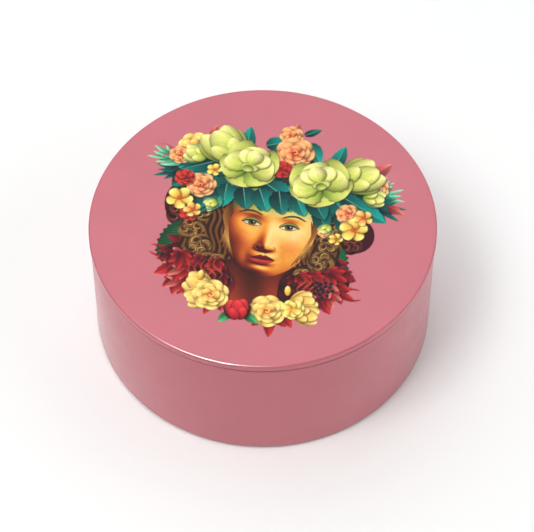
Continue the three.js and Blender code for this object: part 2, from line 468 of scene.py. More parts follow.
def finish_mesh(piece, sharp):
    """Turns the normals outwards and shades smooth up to a sharp angle in degrees."""
    work = bmesh.new()
    work.from_mesh(piece.data)
    bmesh.ops.recalc_face_normals(work, faces=work.faces)
    work.to_mesh(piece.data)
    work.free()
    piece.data.shade_smooth()
    piece.data.set_sharp_from_angle(angle=math.radians(sharp))


def lathe(name, outline, materials, inner_from=None, turns=TURNS, sharp=40):
    """Revolves an outline. It ends on the axis or closes on itself. From the point inner_from
    on, its faces take the second material."""
    open_ended = outline[0][0] < 1e-9
    points, rings = [], []
    angles = [2 * math.pi * i / turns for i in range(turns)]
    for radius, height in outline:
        if radius < 1e-9:
            rings.append([len(points)] * turns)
            points.append((0, 0, height))
        else:
            rings.append(range(len(points), len(points) + turns))
            points.extend((radius * math.cos(a), radius * math.sin(a), height) for a in angles)
    faces, slots = [], []
    for i in range(len(outline) - (1 if open_ended else 0)):
        this, following = rings[i], rings[(i + 1) % len(outline)]
        for k in range(turns):
            nearby = (k + 1) % turns
            loop = [this[k], this[nearby], following[nearby], following[k]]
            loop = [v for n, v in enumerate(loop) if v not in loop[:n]]
            if len(loop) > 2:
                faces.append(loop)
                slots.append(1 if inner_from is not None and i >= inner_from else 0)
    return new_piece(name, points, faces, materials, slots, sharp)


def apply_modifier(piece, kind, **settings):
    modifier = piece.modifiers.new(kind.lower(), kind)
    for key, value in settings.items():
        setattr(modifier, key, value)
    bpy.context.view_layer.objects.active = piece
    with bpy.context.temp_override(object=piece, active_object=piece, selected_objects=[piece]):
        bpy.ops.object.modifier_apply(modifier=modifier.name)


def cut(piece, cutter, operation="DIFFERENCE"):
    apply_modifier(piece, "BOOLEAN", object=cutter, operation=operation, solver="EXACT")
    bpy.data.objects.remove(cutter)


def stand_for(piece, body, slot, *nodes):
    """Says which body a piece rides on and hides the CAD nodes that it replaces. The slot argument, its
    material slot, is not used.
    """
    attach(piece, body)
    if nodes:
        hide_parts(*nodes)
    return piece


# The tin.


def make_body(pink, gold):
    half = SHEET / 2
    wall = BODY_RADIUS - half
    bend = BASE_BEND - half
    curl_centre = BODY_TOP - CURL_RADIUS - half
    line = [
        (0, FOOT_RISE + half),
        (PANEL_RADIUS, FOOT_RISE + half),
        *arc(PANEL_RADIUS, FOOT_RISE - FOOT_BEND + half, FOOT_BEND, 1, 0.5, 4)[1:],
        *arc(FOOT_INNER_RADIUS, FOOT_BEND + half, FOOT_BEND, -1.5, -1, 4),
        *arc(wall - bend, half + bend, bend, -1, 0),
        *arc(wall - CURL_RADIUS, curl_centre, CURL_RADIUS, 0, 2),
        (wall - 2 * CURL_RADIUS, curl_centre - CURL_TAIL),
    ]
    outline = strip(line, SHEET)
    body = lathe("tin_body", outline, [pink, gold], inner_from=len(line) - 1)
    stand_for(body, "tin", "pink_lacquer", "body_shell")


def make_lid(pink, gold):
    half = SHEET / 2
    rim = LID_RADIUS - half
    top = TIN_TOP - half
    hem_centre = RIM_BOTTOM + HEM_RADIUS + half
    line = [
        (0, top),
        (rim * 0.5, top),
        *arc(rim - LID_BEND, top - LID_BEND, LID_BEND, 1, 0, 8),
        *arc(rim - HEM_RADIUS, hem_centre, HEM_RADIUS, 0, -2),
        (rim - 2 * HEM_RADIUS, FLANGE_TOP - SHEET - GAP),
    ]
    lid = lathe("tin_lid", strip(line, SHEET), [gold, pink], inner_from=len(line) - 1)
    stand_for(lid, "lid", "pink_lacquer", "lid_panel")


def make_plug_ring(gold):
    half = SHEET / 2
    skirt = BODY_RADIUS - SHEET - 2 * CURL_RADIUS - GAP - half
    flange = FLANGE_TOP - half
    line = [
        (FLANGE_RADIUS, flange),
        *arc(skirt + LID_BEND, flange - LID_BEND, LID_BEND, 1, 2),
        *arc(skirt - LID_BEND, PLUG_BOTTOM + half + LID_BEND, LID_BEND, 0, -2),
    ]
    plug = lathe("plug_ring", strip(line, SHEET), [gold])
    stand_for(plug, "lid", "gold_tinplate", "lid_plug_ring")


def rounded_disc(radius, low, high, bend, steps=4):
    """The outline of a disc with rounded edges."""
    return [
        (0, low),
        *arc(radius - bend, low + bend, bend, -1, 0, steps),
        *arc(radius - bend, high - bend, bend, 0, 1, steps),
        (0, high),
    ]


def make_wad(card):
    low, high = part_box("lid_wad")
    outline = rounded_disc(high[0], low[2], high[2], 0.12 * MM, 2)
    stand_for(lathe("pulpboard_wad", outline, [card]), "lid", "pulpboard", "lid_wad")


def make_label(paper):
    low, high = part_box("base_label")
    outline = rounded_disc(high[0], low[2], high[2], 0.04 * MM, 2)
    stand_for(lathe("paper_label", outline, [paper]), "tin", "label_paper", "base_label")


def make_talc(powder):
    """Shaken powder, level to within a millimetre, with small lumps."""
    low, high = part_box("talc_fill")
    rings = [high[0] * i / 40 for i in range(41)]
    surface = [(r, high[2] - TALC_DROP * (r / high[0])) for r in reversed(rings)]
    heap = lathe("talc", [(0, low[2]), (high[0], low[2]), *surface], [powder], turns=160, sharp=80)
    for vertex in heap.data.vertices:
        x, y, z = vertex.co
        if z > low[2] + 1 * MM:
            ripple = math.sin(310 * x + 2) * math.sin(270 * y) + 0.6 * math.sin(32800 * x * y + 640 * y)
            vertex.co.z = z - TALC_RIPPLE * (1 + 0.5 * ripple)
    stand_for(heap, "tin", "talc", "talc_fill")


def hole_cutters(floor, turn):
    """One mesh of countersunk cutters for the sifting holes, turned by an angle."""
    depth = 2 * MM
    outline = [
        (0, floor - depth),
        (HOLE_RADIUS, floor - depth),
        (HOLE_RADIUS, floor - HOLE_SINK),
        (HOLE_RADIUS + 2 * HOLE_SINK, floor + HOLE_SINK),
        (0, floor + HOLE_SINK),
    ]
    cutters = []
    for spoke in range(SPOKES):
        angle = turn + 2 * math.pi * spoke / SPOKES
        for distance in HOLE_RINGS:
            cutter = lathe("cutter", outline, [], turns=20)
            for vertex in cutter.data.vertices:
                vertex.co.x += distance * math.cos(angle)
                vertex.co.y += distance * math.sin(angle)
            cutters.append(cutter)
    return join(cutters)


def join(pieces):
    bpy.ops.object.select_all(action="DESELECT")
    for piece in pieces:
        piece.select_set(True)
    bpy.context.view_layer.objects.active = pieces[0]
    bpy.ops.object.join()
    return pieces[0]


def make_insert(cream):
    half = PLASTIC / 2
    skirt, bend = SKIRT_RADIUS - half, WELL_BEND
    well, floor, deck = WELL_RADIUS + half, WELL_FLOOR - half, DECK_TOP - half
    line = [
        (0, floor),
        *arc(well - bend, floor + bend, bend, -1, 0, 4),
        *arc(well + bend, deck - bend, bend, 2, 1, 4),
        *arc(skirt - bend, deck - bend, bend, 1, 0, 4),
        (skirt, SKIRT_BOTTOM),
    ]
    insert = lathe("sifter", strip(line, PLASTIC), [cream], turns=192)
    cut(insert, hole_cutters(WELL_FLOOR, 0))
    finish_mesh(insert, 30)
    stand_for(insert, "tin", "cream_plastic", "sifter_insert")


def make_dial(rose):
    """The rotary shutter, with two finger tabs. It is closed at rest."""
    top = DIAL_BOTTOM + DIAL_THICKNESS
    dial = lathe("dial", rounded_disc(DIAL_RADIUS, DIAL_BOTTOM, top, 0.3 * MM), [rose], turns=192)
    closed = -math.pi / SPOKES
    cut(dial, hole_cutters(top, closed))
    height = TAB_TOP - top + DIAL_THICKNESS / 2
    for side in (-1, 1):
        box = bmesh.new()
        bmesh.ops.create_cube(box, size=1)
        for vertex in box.verts:
            taper = 0.8 if vertex.co.z > 0 else 1
            vertex.co.x = side * (TAB_INNER + TAB_OUTER) / 2 + vertex.co.x * (TAB_OUTER - TAB_INNER) * taper
            vertex.co.y *= TAB_WIDTH * taper
            vertex.co.z = TAB_TOP - height / 2 + vertex.co.z * height
        bmesh.ops.bevel(box, geom=list(box.edges), offset=TAB_BEVEL, segments=3, affect="EDGES", profile=0.5)
        mesh = bpy.data.meshes.new("tab")
        box.to_mesh(mesh)
        box.free()
        cut(dial, add_object("tab", mesh), "UNION")
    finish_mesh(dial, 30)
    stand_for(dial, "dial", "dial_plastic", "sifter_dial")


def make_rivet(metal):
    low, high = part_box("dial_rivet")
    head, height = high[0], RIVET_HEAD_HEIGHT
    angles = [QUARTER * i / 8 for i in range(1, 8)]
    dome = [(head * math.cos(a), high[2] - height * (1 - math.sin(a)) * 0.98) for a in angles]
    outline = [
        (0, low[2]),
        *arc(head - RIVET_BEND, low[2] + RIVET_BEND, RIVET_BEND, -1, 0, 4),
        (head, low[2] + height),
        (RIVET_SHANK, low[2] + height),
        (RIVET_SHANK, high[2] - height),
        (head, high[2] - height),
        *dome,
        (0, high[2]),
    ]
    rivet = lathe("rivet", outline, [metal], turns=64, sharp=50)
    stand_for(rivet, "tin", "rivet_brass", "dial_rivet")


# The printed picture. It is drawn on the lid in millimetres, x to the right and y away from the
# front, as a pile of flat shapes. Sheets of ink are then cut from it, whose corners lie on a fine
# lattice and carry the colour that shows there and how far the ink covers the lacquer.

SCREEN = 0.21  # spacing of the lattice
FACE_SCREEN = 0.14  # the same for the head
FINENESS = 3  # samples along each side of a corner's share of the picture
BORDER = 1  # of the lattice round the picture
HEAD_BORDER = 1.5
OVERLAP = 0.8  # of the head's sheet over the others
CROWN_FOOT = -2.0  # where the upper and the lower sheet meet
INK_HEIGHT = 0.02 * MM  # above the lid
HEAD_HEIGHT = 1.3 * INK_HEIGHT
LEAST_COVER = 0.02  # below this a corner is left bare
BLADE_STATIONS = 26
SHADOW = -1  # marks a shape that only darkens what lies under it
inks = []


def ink(outline, paint, clip=None):
    """Adds a shape on top of the others and returns its number. Its paint gives colours of 0 to
    255 at points inside, or for a SHADOW it is the share of light that stays. The number of
    another shape as its clip keeps it inside that shape."""
    inks.append((np.asarray(outline, float), paint, clip))
    return len(inks) - 1


def ramp(share, *colours):
    """Colours along an even scale of stops."""
    stops = np.linspace(0, 1, len(colours))
    share = np.clip(share, 0, 1)
    return np.stack([np.interp(share, stops, [c[k] for c in colours]) for k in range(3)], axis=-1)


def plain(colour):
    """Paint of one colour."""
    return lambda points: np.tile(np.asarray(colour, float), (len(points), 1))


def wavy(wave, *colours):
    """Paint that runs through its colours along a wave of x and y."""
    return lambda points: ramp(0.5 + 0.5 * wave(*points.T), *colours)


def soft(low, high, value):
    """A smooth step from 0 to 1."""
    t = np.clip((value - low) / (high - low), 0, 1)
    return t * t * (3 - 2 * t)


def heading(degrees):
    a = math.radians(degrees)
    return np.array([math.cos(a), math.sin(a)])


def through(points, fine=6, closed=False):
    """A smooth line through some points."""
    p = np.asarray(points, float)
    if closed:
        p = np.vstack([p[-1:], p, p[:2]])
    else:
        p = np.vstack([2 * p[0] - p[1], p, 2 * p[-1] - p[-2]])
    t = (np.arange(fine) / fine)[:, None]
    parts = [
        0.5 * (2 * b + (c - a) * t + (2 * a - 5 * b + 4 * c - d) * t**2 + (3 * b - a - 3 * c + d) * t**3)
        for a, b, c, d in zip(p, p[1:], p[2:], p[3:])
    ]
    return np.vstack(parts if closed else [*parts, p[-2:-1]])


def spot(centre, radius, fine):
    """The outline of a small round dot."""
    return through([centre + radius * heading(turn) for turn in range(0, 360, 60)], fine, True)


def ring(x, y, wide, high, count=16):
    """An ellipse about a point."""
    turn = np.linspace(0, 2 * math.pi, count, endpoint=False)
    return np.stack([x + wide * np.cos(turn), y + high * np.sin(turn)], axis=1)


class Blade:
    """A petal or leaf: a bent axis with a width that swells and tapers along it."""

    def __init__(
        self, base, angle, length, width, root=0.6, tip=0.5, bend=0.0, ripple=0.0, waves=5, teeth=0.0
    ):
        self.t = (1 - np.cos(np.linspace(0, math.pi, BLADE_STATIONS))) / 2
        angles = np.radians(angle + bend * (self.t - 0.3))
        steps = np.diff(self.t, prepend=0)[:, None] * length
        along = np.stack([np.cos(angles), np.sin(angles)], axis=1)
        self.axis = np.asarray(base, float) + np.cumsum(along * steps, axis=0)
        self.across = np.stack([-np.sin(angles), np.cos(angles)], axis=1)
        peak = (root / (root + tip)) ** root * (tip / (root + tip)) ** tip
        self.half = width / 2 * self.t**root * (1 - self.t) ** tip / peak
        self.ripple, self.waves, self.teeth = ripple, waves, teeth

    def outline(self, grow=0.0):
        wave = 1 + self.ripple * np.sin(2 * math.pi * self.waves * self.t)
        saw = 1 + self.teeth * ((self.waves * 2 * self.t) % 1 - 0.5)
        half = (self.half * wave * saw + grow)[:, None]
        return np.vstack([(self.axis + self.across * half)[:-1], (self.axis - self.across * half)[:0:-1]])

    def place(self, points):
        """How far along and how far across each point lies, from 0 to 1 and from -1 to 1."""
        away = points[:, None, :] - self.axis[None]
        near = np.argmin((away**2).sum(axis=2), axis=1)
        picked = away[np.arange(len(points)), near]
        side = (picked * self.across[near]).sum(axis=1)
        along = np.stack([self.across[near][:, 1], -self.across[near][:, 0]], axis=1)
        span = np.ptp(self.axis, axis=0).max() + 1e-6
        reach = self.t[near] + (picked * along).sum(axis=1) / span
        return np.clip(reach, 0, 1), np.clip(side / np.maximum(self.half[near], 0.15), -1, 1)


def shaded_blade(base, drop, grow, shadow, *size, **shape):
    """A blade over its own thin shadow."""
    if shadow < 1:
        ink(Blade(np.asarray(base) + drop, *size, **shape).outline(grow), shadow, SHADOW)
    return Blade(base, *size, **shape)


def petal(base, angle, length, width, colours, lit=0.14, shadow=0.62, **shape):
    """A petal with a soft roll of light across it."""
    blade = shaded_blade(base, (0.25, -0.3), 0.22, shadow, angle, length, width, **shape)

    def paint(points):
        u, v = blade.place(points)
        light = 1 + lit * v + 0.10 * (1 - v**2) - 0.22 * np.abs(v) ** 5
        light += 0.05 * np.sin(v * 11) * (1 - u)
        return ramp(u, *colours) * light[:, None]

    ink(blade.outline(), paint)


def leaf(base, angle, length, width, colours, ribbed=True, sides=6, teeth=0.22, shadow=0.6):
    """A pointed leaf with teeth, side veins and a midrib."""
    shape = {"root": 0.55, "tip": 0.85, "teeth": teeth, "waves": 4}
    blade = shaded_blade(base, (0.3, -0.35), 0.2, shadow, angle, length, width, **shape)

    def paint(points):
        u, v = blade.place(points)
        vein = np.cos(2 * math.pi * (sides * u - 1.6 * np.abs(v))) ** 2
        light = 1 + 0.16 * np.sign(v) * (np.abs(v) > 0.03) - 0.25 * vein * (1 - u) + 0.12 * u
        return ramp(u, *colours) * light[:, None]

    body = ink(blade.outline(), paint)
    if ribbed and width > 2:
        midrib = Blade(base, angle, length * 0.93, 0.2 + 0.02 * width, root=0.15, tip=0.6)
        ink(midrib.outline(), plain(RIB), body)


def stroke(points, width, colours, clip=None, fine=6, taper=0.5):
    """A line through some points that swells and tapers."""
    line = through(points, fine)
    t = np.linspace(0, 1, len(line))
    along = np.gradient(line, axis=0)
    along /= np.linalg.norm(along, axis=1, keepdims=True) + 1e-9
    across = np.stack([-along[:, 1], along[:, 0]], axis=1)
    half = (width / 2 * (4 * t * (1 - t)) ** taper + 0.03)[:, None]

    def paint(where):
        near = np.argmin(((where[:, None] - line[None]) ** 2).sum(axis=2), axis=1)
        return ramp(t[near], *colours)

    ink(np.vstack([line + across * half, (line - across * half)[::-1]]), paint, clip)


RIB = (84, 160, 138)
LIME = [(98, 124, 46), (164, 178, 72), (202, 204, 104), (224, 220, 142)]
LIME_DEEP = [(58, 92, 40), (118, 142, 54), (168, 180, 78), (204, 204, 108)]
TEAL = [(2, 66, 66), (8, 112, 104), (16, 134, 122)]
TEAL_DARK = [(6, 40, 48), (8, 78, 76), (14, 104, 92)]
SEA = [(30, 120, 96), (86, 168, 132), (150, 204, 160)]
EMERALD = [(30, 104, 62), (74, 160, 96)]
CORAL = [(160, 34, 28), (216, 90, 60), (234, 142, 90), (244, 184, 120)]
PEACH = [(190, 84, 44), (226, 144, 70), (238, 186, 94), (246, 214, 128)]
GOLD = [(206, 130, 40), (236, 190, 84), (250, 226, 130)]
RED = [(84, 12, 22), (140, 24, 30), (176, 40, 40)]
CHERRY = [(120, 16, 28), (184, 34, 42), (214, 60, 60)]
WINE = [(40, 8, 18), (90, 16, 26), (126, 26, 34)]
FERN = [(4, 44, 30), (14, 84, 50), (44, 122, 66)]
ROSEWOOD = [(120, 44, 44), (168, 74, 72), (196, 112, 100)]
HAIR = [(52, 28, 16), (176, 130, 66), (214, 172, 98)]  # dark, light and shining
KNOT = [(28, 8, 14), (132, 48, 40), (176, 92, 70)]
LOCK = [(60, 30, 16), (150, 92, 40), (206, 150, 70), (90, 46, 22)]
SKIN = [(58, 14, 16), (140, 48, 24), (206, 104, 38), (234, 150, 56), (246, 186, 92), (253, 218, 140)]
LEAF_SHADE = [(14, 52, 34), (84, 140, 72), (164, 196, 104)]


def bloom(centre, size, facing):
    """A full open flower: a back row, a middle row and a cup of petals."""
    centre = np.asarray(centre, float)
    ruffled = {"tip": 0.34, "ripple": 0.05, "waves": 4}
    for i, turn in enumerate((178, -118, 116, -58, 60)):
        long = size * (1.0 + 0.07 * math.sin(3.1 * i + size))
        turn += facing + 6 * math.sin(i * 2 + size)
        way = (-1) ** i
        petal(centre, turn, long, size * 1.08, LIME_DEEP, bend=14 * way, lit=0.14 * way, **ruffled)
    for i, turn in enumerate((-82, 88, 4)):
        base = centre - 0.08 * size * heading(facing)
        petal(base, facing + turn, size * 0.86, size * 0.92, LIME, bend=16 * (-1) ** i, lit=0.12, **ruffled)
    cup = ((-42, 0.70, 0.62), (44, 0.68, 0.60), (6, 0.60, 0.58), (-150, 0.32, 0.52), (160, 0.28, 0.46))
    for turn, long, wide in cup:
        lit = 0.16 if turn >= 0 else -0.16
        petal(centre, facing + turn, size * long, size * wide, LIME[1:] + LIME[-1:], tip=0.45, lit=lit)
    petal(centre - 0.04 * size * heading(facing), facing + 180, size * 0.26, size * 0.34, LIME_DEEP, tip=0.5)


def bud(base, size, facing, light, deep):
    """A closed flower seen from the side."""
    for turn, long, wide, colours in (
        (-34, 0.86, 0.50, deep),
        (34, 0.88, 0.50, deep),
        (-18, 1.0, 0.56, light),
        (20, 0.98, 0.56, light),
        (0, 0.92, 0.58, light),
        (-30, 0.62, 0.40, light),
        (30, 0.60, 0.40, light),
    ):
        shape = {"root": 0.5, "tip": 0.5, "bend": -turn * 0.5, "lit": 0.15 if turn < 0 else -0.12}
        petal(base, facing + turn, size * long, size * wide, colours, **shape)


def rose(centre, size, facing, colours, rows=3):
    """A rose seen from above, its rows of petals closing on a dark heart."""
    for row in range(rows):
        count, long, wide = 7 - row, size * (1.0 - 0.26 * row), size * (0.86 - 0.16 * row)
        for i in range(count):
            shape = {"tip": 0.38, "ripple": 0.04, "lit": 0.16 * (-1) ** i, "shadow": 0.66}
            petal(centre, facing + 360 * i / count + 27 * row, long, wide, colours, **shape)
    centre = np.asarray(centre)
    ink(spot(centre, size * 0.18, 4), plain(colours[0]))
    spiral = [centre + size * 0.03 * k * heading(facing + 70 * k) for k in range(1, 7)]
    stroke(spiral, size * 0.08, colours[-2:])


def blossom(centre, size, facing, colours):
    """A small open flower with five petals and a dotted eye."""
    for i in range(5):
        petal(centre, facing + 72 * i, size, size * 0.82, colours, tip=0.36, ripple=0.05, lit=0.12)
    for k in range(7):
        dot = np.asarray(centre) + size * 0.16 * heading(facing + 60 * k) * (k > 0)
        eye = [(150, 40, 20), (236, 120, 30)]
        petal(dot - (0, size * 0.08), 90, size * 0.16, size * 0.14, eye, shadow=1)


def lobed_leaf(base, angle, size, colours):
    """A leaf with five pointed lobes."""
    for turn, share in ((-82, 0.55), (82, 0.55), (-42, 0.8), (42, 0.8), (0, 1.0)):
        lobe = {"ribbed": False, "sides": 4, "teeth": 0.3, "shadow": 0.8}
        leaf(base, angle + turn, size * share, size * 0.42, colours, **lobe)


def scalloped_leaf(base, angle, length, width):
    """A dark fern-like leaf with a beaded edge."""
    blade = Blade(base, angle, length, width, root=0.4, tip=0.45, bend=12)
    for bead in blade.outline()[::2]:
        ink(spot(bead, 0.55, 2), plain((8, 34, 28)))

    def paint(points):
        u, v = blade.place(points)
        rib = np.cos(2 * math.pi * (9 * u - 0.8 * np.abs(v))) ** 2
        return ramp(0.2 + 0.8 * rib * (1 - 0.5 * np.abs(v)), *FERN) * (1 + 0.15 * v)[:, None]

    ink(blade.outline(), paint)


def spray(base, angle, size, colours, count, spread, width):
    """Thin curved tendrils that fan out from one point."""
    for i in range(count):
        turn = angle + spread * (i / (count - 1) - 0.5) * 2
        curl = 18 * (-1) ** i
        reach = size * (0.75 + 0.25 * math.cos(2.3 * i))
        points = [np.asarray(base) + reach * t * heading(turn + curl * t**2) for t in (0, 0.35, 0.7, 1)]
        stroke(points, width, colours, taper=0.35)


def curls(centre, size, turn, way, tones=HAIR):
    """A cluster of ringlets: a dark ground, then coiled locks."""
    centre = np.asarray(centre, float)
    dark, light, shine = tones
    ground = [centre + size * (0.9 + 0.1 * math.cos(5 * k)) * heading(turn + 45 * k) for k in range(8)]

    def paint(points):
        x, y = (points - centre).T
        wave = np.sin(np.arctan2(y, x) * 3 * way + np.hypot(x, y) * 11 / size)
        return ramp(0.3 + 0.4 * wave, dark, light)

    ink(through(ground, 4, True), paint)
    for k in range(4):
        middle = centre + size * 0.42 * heading(turn + 90 * k)
        coil = [middle + size * (0.42 - 0.05 * j) * heading(turn + way * 58 * j + 40 * k) for j in range(8)]
        stroke(coil, size * 0.13, [dark, light, shine, light, dark])
        stroke([p + (0.12, -0.12) for p in coil], size * 0.04, [(50, 24, 14), dark])


# The head, drawn upright about its own centre and then tilted. The eyes lie halfway down the head,
# the nose ends halfway from the eyes to the chin and the mouth a third of the way below that.

HEAD_CENTRE = np.array([2.3, -1.4])
HEAD_TILT = -11
HEAD_HALF = 19.0
HEAD_HALF_WIDTH = 14.2
EYE = 2 * HEAD_HALF_WIDTH / 5  # width of an eye, and how far its middle is from the nose
NOSE_END = -HEAD_HALF / 2
MOUTH = NOSE_END - (HEAD_HALF + NOSE_END) / 3

# Hills and hollows of the face: height, place, and half width and half height.
PAIRED_HILLS = [
    (-2.0, EYE * 0.98, 0.7, 3.4, 2.2),  # eye socket
    (1.0, EYE, 0.1, 2.2, 1.2),  # eyeball
    (0.6, EYE, 4.0, 4.2, 1.3),  # brow
    (0.9, 2.2, NOSE_END + 1.2, 0.9, 0.9),  # wing of the nose
    (0.9, 7.6, -6, 3.8, 3.6),  # cheek
    (-0.5, 5.2, MOUTH, 1.6, 3.0),  # corner of the mouth
]
MIDDLE_HILLS = [
    (1.4, 0, NOSE_END + 1.6, 1.8, 1.5),  # tip of the nose
    (1.2, 0, MOUTH, 5.0, 3.0),  # mouth
    (0.5, 0, MOUTH + 0.9, 3.0, 0.8),  # upper lip
    (0.7, 0, MOUTH - 1.2, 2.6, 0.9),  # lower lip
    (-0.6, 0, MOUTH - 2.6, 2.4, 0.8),  # under the lip
    (-0.25, 0, MOUTH + 2.2, 0.6, 0.8),  # over the lip
    (1.0, 0, -17, 3.2, 1.6),  # chin
]


def turned(points, degrees):
    """Points turned anticlockwise about the origin."""
    a = math.radians(degrees)
    return points @ np.array([[math.cos(a), math.sin(a)], [-math.sin(a), math.cos(a)]])


def tilted(points):
    """From the upright head to the lid."""
    return turned(np.asarray(points, float), HEAD_TILT) + HEAD_CENTRE


def upright(points):
    """From the lid to the upright head."""
    return turned(points - HEAD_CENTRE, -HEAD_TILT)


def on_side(side, points):
    """From the right (1) or left (-1) half of the upright head to the lid."""
    return tilted(np.asarray(points, float) * (side, 1))


def hill(x, y, at_x, at_y, wide, high):
    return np.exp(-(((x - at_x) / wide) ** 2) - ((y - at_y) / high) ** 2)


def relief(x, y):
    """How far the face stands forward at each point."""
    z = 13 * np.sqrt(np.clip(1 - (x / 15.5) ** 2 - ((y - 1) / 22) ** 2, 0.02, 1))
    bridge = soft(4, NOSE_END + 1.5, y) * soft(NOSE_END - 1.4, NOSE_END + 0.6, y)
    z += (0.8 + 2.6 * bridge) * np.exp(-((x / (1.5 + 0.7 * bridge)) ** 2)) * bridge
    for height, at_x, at_y, wide, high in MIDDLE_HILLS:
        z += height * hill(x, y, at_x, at_y, wide, high)
    for height, at_x, at_y, wide, high in PAIRED_HILLS:
        z += height * (hill(x, y, at_x, at_y, wide, high) + hill(x, y, -at_x, at_y, wide, high))
    return z


def paint_skin(points):
    """Skin lit from the upper right, with the green shade of the crown on the forehead."""
    x, y = upright(points).T
    step = 0.05
    slope_x = (relief(x + step, y) - relief(x - step, y)) / (2 * step)
    slope_y = (relief(x, y + step) - relief(x, y - step)) / (2 * step)
    length = np.sqrt(slope_x**2 + slope_y**2 + 1)
    light = (0.80 - 0.42 * slope_x - 0.42 * slope_y) / length
    leaf_shade = soft(2.4, 8.0, y)[:, None] * 0.85
    colour = ramp(light, *SKIN) * (1 - leaf_shade) + ramp(light, *LEAF_SHADE) * leaf_shade
    blush = 0.35 * (hill(x, y, -7.4, -6.5, 3, 2.4) + hill(x, y, 7.4, -6.5, 3, 2.4))[:, None]
    return colour * (1 - blush) + np.array([222, 92, 44]) * blush * (0.4 + light[:, None])


def downward(*colours):
    """Paint that runs down the upright head, from a shape's top to its foot."""

    def paint(points):
        y = upright(points)[:, 1]
        return ramp((y.max() - y) / max(1e-6, np.ptp(y)), *colours)

    return paint


def draw_eye(side, skin):
    s = np.linspace(-1, 1, 13)
    x, slant = EYE + s * EYE / 2, 0.10 * s * EYE / 2
    upper = np.stack([x, slant + 1.15 * (1 - s**2) ** 0.75], axis=1)
    lower = np.stack([x, slant - 0.80 * (1 - s**2)], axis=1)
    fold = np.stack([EYE + s * EYE * 0.56, slant + 0.25 + 2.0 * (1 - s**2) ** 0.8], axis=1)
    lash = np.vstack([upper, [[EYE * 1.60, 0.75]]])
    brow = [(EYE * 0.52, 3.5), (EYE * 0.9, 4.5), (EYE * 1.35, 4.7), (EYE * 1.85, 3.5)]
    lid_paint = downward((122, 128, 62), (150, 150, 76), (196, 140, 66))
    white_paint = downward((150, 132, 96), (226, 214, 176), (220, 196, 150))
    iris_paint = downward((34, 42, 20), (84, 84, 36), (132, 118, 54))
    ink(on_side(side, np.vstack([fold, upper[::-1]])), lid_paint, skin)
    white = ink(on_side(side, np.vstack([upper, lower[::-1][1:-1]])), white_paint, skin)
    iris = ink(on_side(side, ring(EYE, 0.22, 1.25, 1.25)), iris_paint, white)
    ink(on_side(side, ring(EYE, 0.22, 0.55, 0.55)), plain((12, 10, 10)), iris)
    ink(on_side(side, ring(EYE + side * 0.42, 0.68, 0.2, 0.2, 8)), plain((255, 250, 235)), iris)
    stroke(on_side(side, lash), 0.42, [(60, 26, 18), (26, 12, 12), (20, 10, 10)], skin, 3, 0.3)
    stroke(on_side(side, fold), 0.16, [(120, 52, 26), (96, 36, 20)], skin, 2)
    stroke(on_side(side, lower), 0.14, [(150, 66, 30), (84, 34, 22)], skin, 2)
    stroke(on_side(side, brow), 0.62, [(70, 52, 28), (46, 34, 22), (60, 44, 26)], skin, 6, 0.4)


def draw_mouth(skin):
    m, half = MOUTH, EYE * 0.66
    left, right = (-half, m), (half, m)
    bow = [(-half * 0.5, m + 1.0), (-0.75, m + 1.5), (0, m + 1.2), (0.75, m + 1.5), (half * 0.5, m + 1.0)]
    seam = [(-half * 0.45, m - 0.02), (0, m - 0.15), (half * 0.45, m - 0.02)]
    foot = [(half * 0.62, m - 1.3), (0, m - 1.95), (-half * 0.62, m - 1.3)]
    upper_lip = through([left, *bow, right, *seam[::-1]], 4, True)
    lower_lip = through([left, *seam, right, *foot], 4, True)
    lower_paint = downward((110, 14, 24), (196, 66, 58), (176, 44, 44), (120, 22, 28))
    ink(tilted(upper_lip), downward((150, 34, 36), (104, 14, 24), (70, 8, 18)), skin)
    ink(tilted(lower_lip), lower_paint, skin)
    stroke(tilted([left, *seam, right]), 0.26, [(60, 6, 14), (46, 4, 12), (60, 6, 14)], skin)


def draw_head():
    side = [
        (3.8, -18.5), (7.8, -15.9), (11.2, -11.6), (13.4, -5.8), (HEAD_HALF_WIDTH, 0), (14.0, 7),
        (11.9, 13), (6.8, 17.6),
    ]
    outline = [(0, -HEAD_HALF), *side, (0, HEAD_HALF), *[(-x, y) for x, y in reversed(side)]]
    skin = ink(tilted(through(outline, 5, True)), paint_skin)
    wing = [(2.5, NOSE_END + 2.0), (3.1, NOSE_END + 1.1), (2.7, NOSE_END + 0.3), (1.9, NOSE_END + 0.2)]
    for way in (-1, 1):
        draw_eye(way, skin)
        nostril = ring(way * 1.1, NOSE_END + 0.25, 0.52, 0.26, 10)
        ink(tilted(nostril), downward((64, 14, 14), (110, 36, 20)), skin)
        stroke(on_side(way, wing), 0.2, [(176, 84, 36), (140, 52, 26)], skin)
    draw_mouth(skin)


LOCKS = wavy(
    lambda x, y: np.sin(3.6 * x + 2.2 * np.sin(0.55 * y + 0.2 * x)), (34, 16, 12), (74, 38, 20), (120, 74, 34)
)
UNDERGROWTH = wavy(
    lambda x, y: np.sin(1.4 * x + np.sin(0.9 * y)) * np.sin(1.1 * y), (30, 8, 14), (70, 14, 20)
)
GLOOM = wavy(
    lambda x, y: np.sin(1.7 * x + 1.2 * np.sin(1.1 * y)) * np.sin(1.3 * y + 0.4 * x),
    (6, 30, 32), (10, 62, 56), (70, 34, 26),
)


def paint_neck(points):
    y = points[:, 1]
    colour = ramp((-14 - y) / 16, (52, 16, 14), (92, 30, 20), (132, 46, 26))
    return colour * (1 + 0.25 * np.sin(points[:, :1] * 0.5))


def paint_berry(points):
    rise = points.sum(axis=1)
    return ramp((rise - rise.min()) / 1.6, (12, 8, 16), (58, 42, 62))


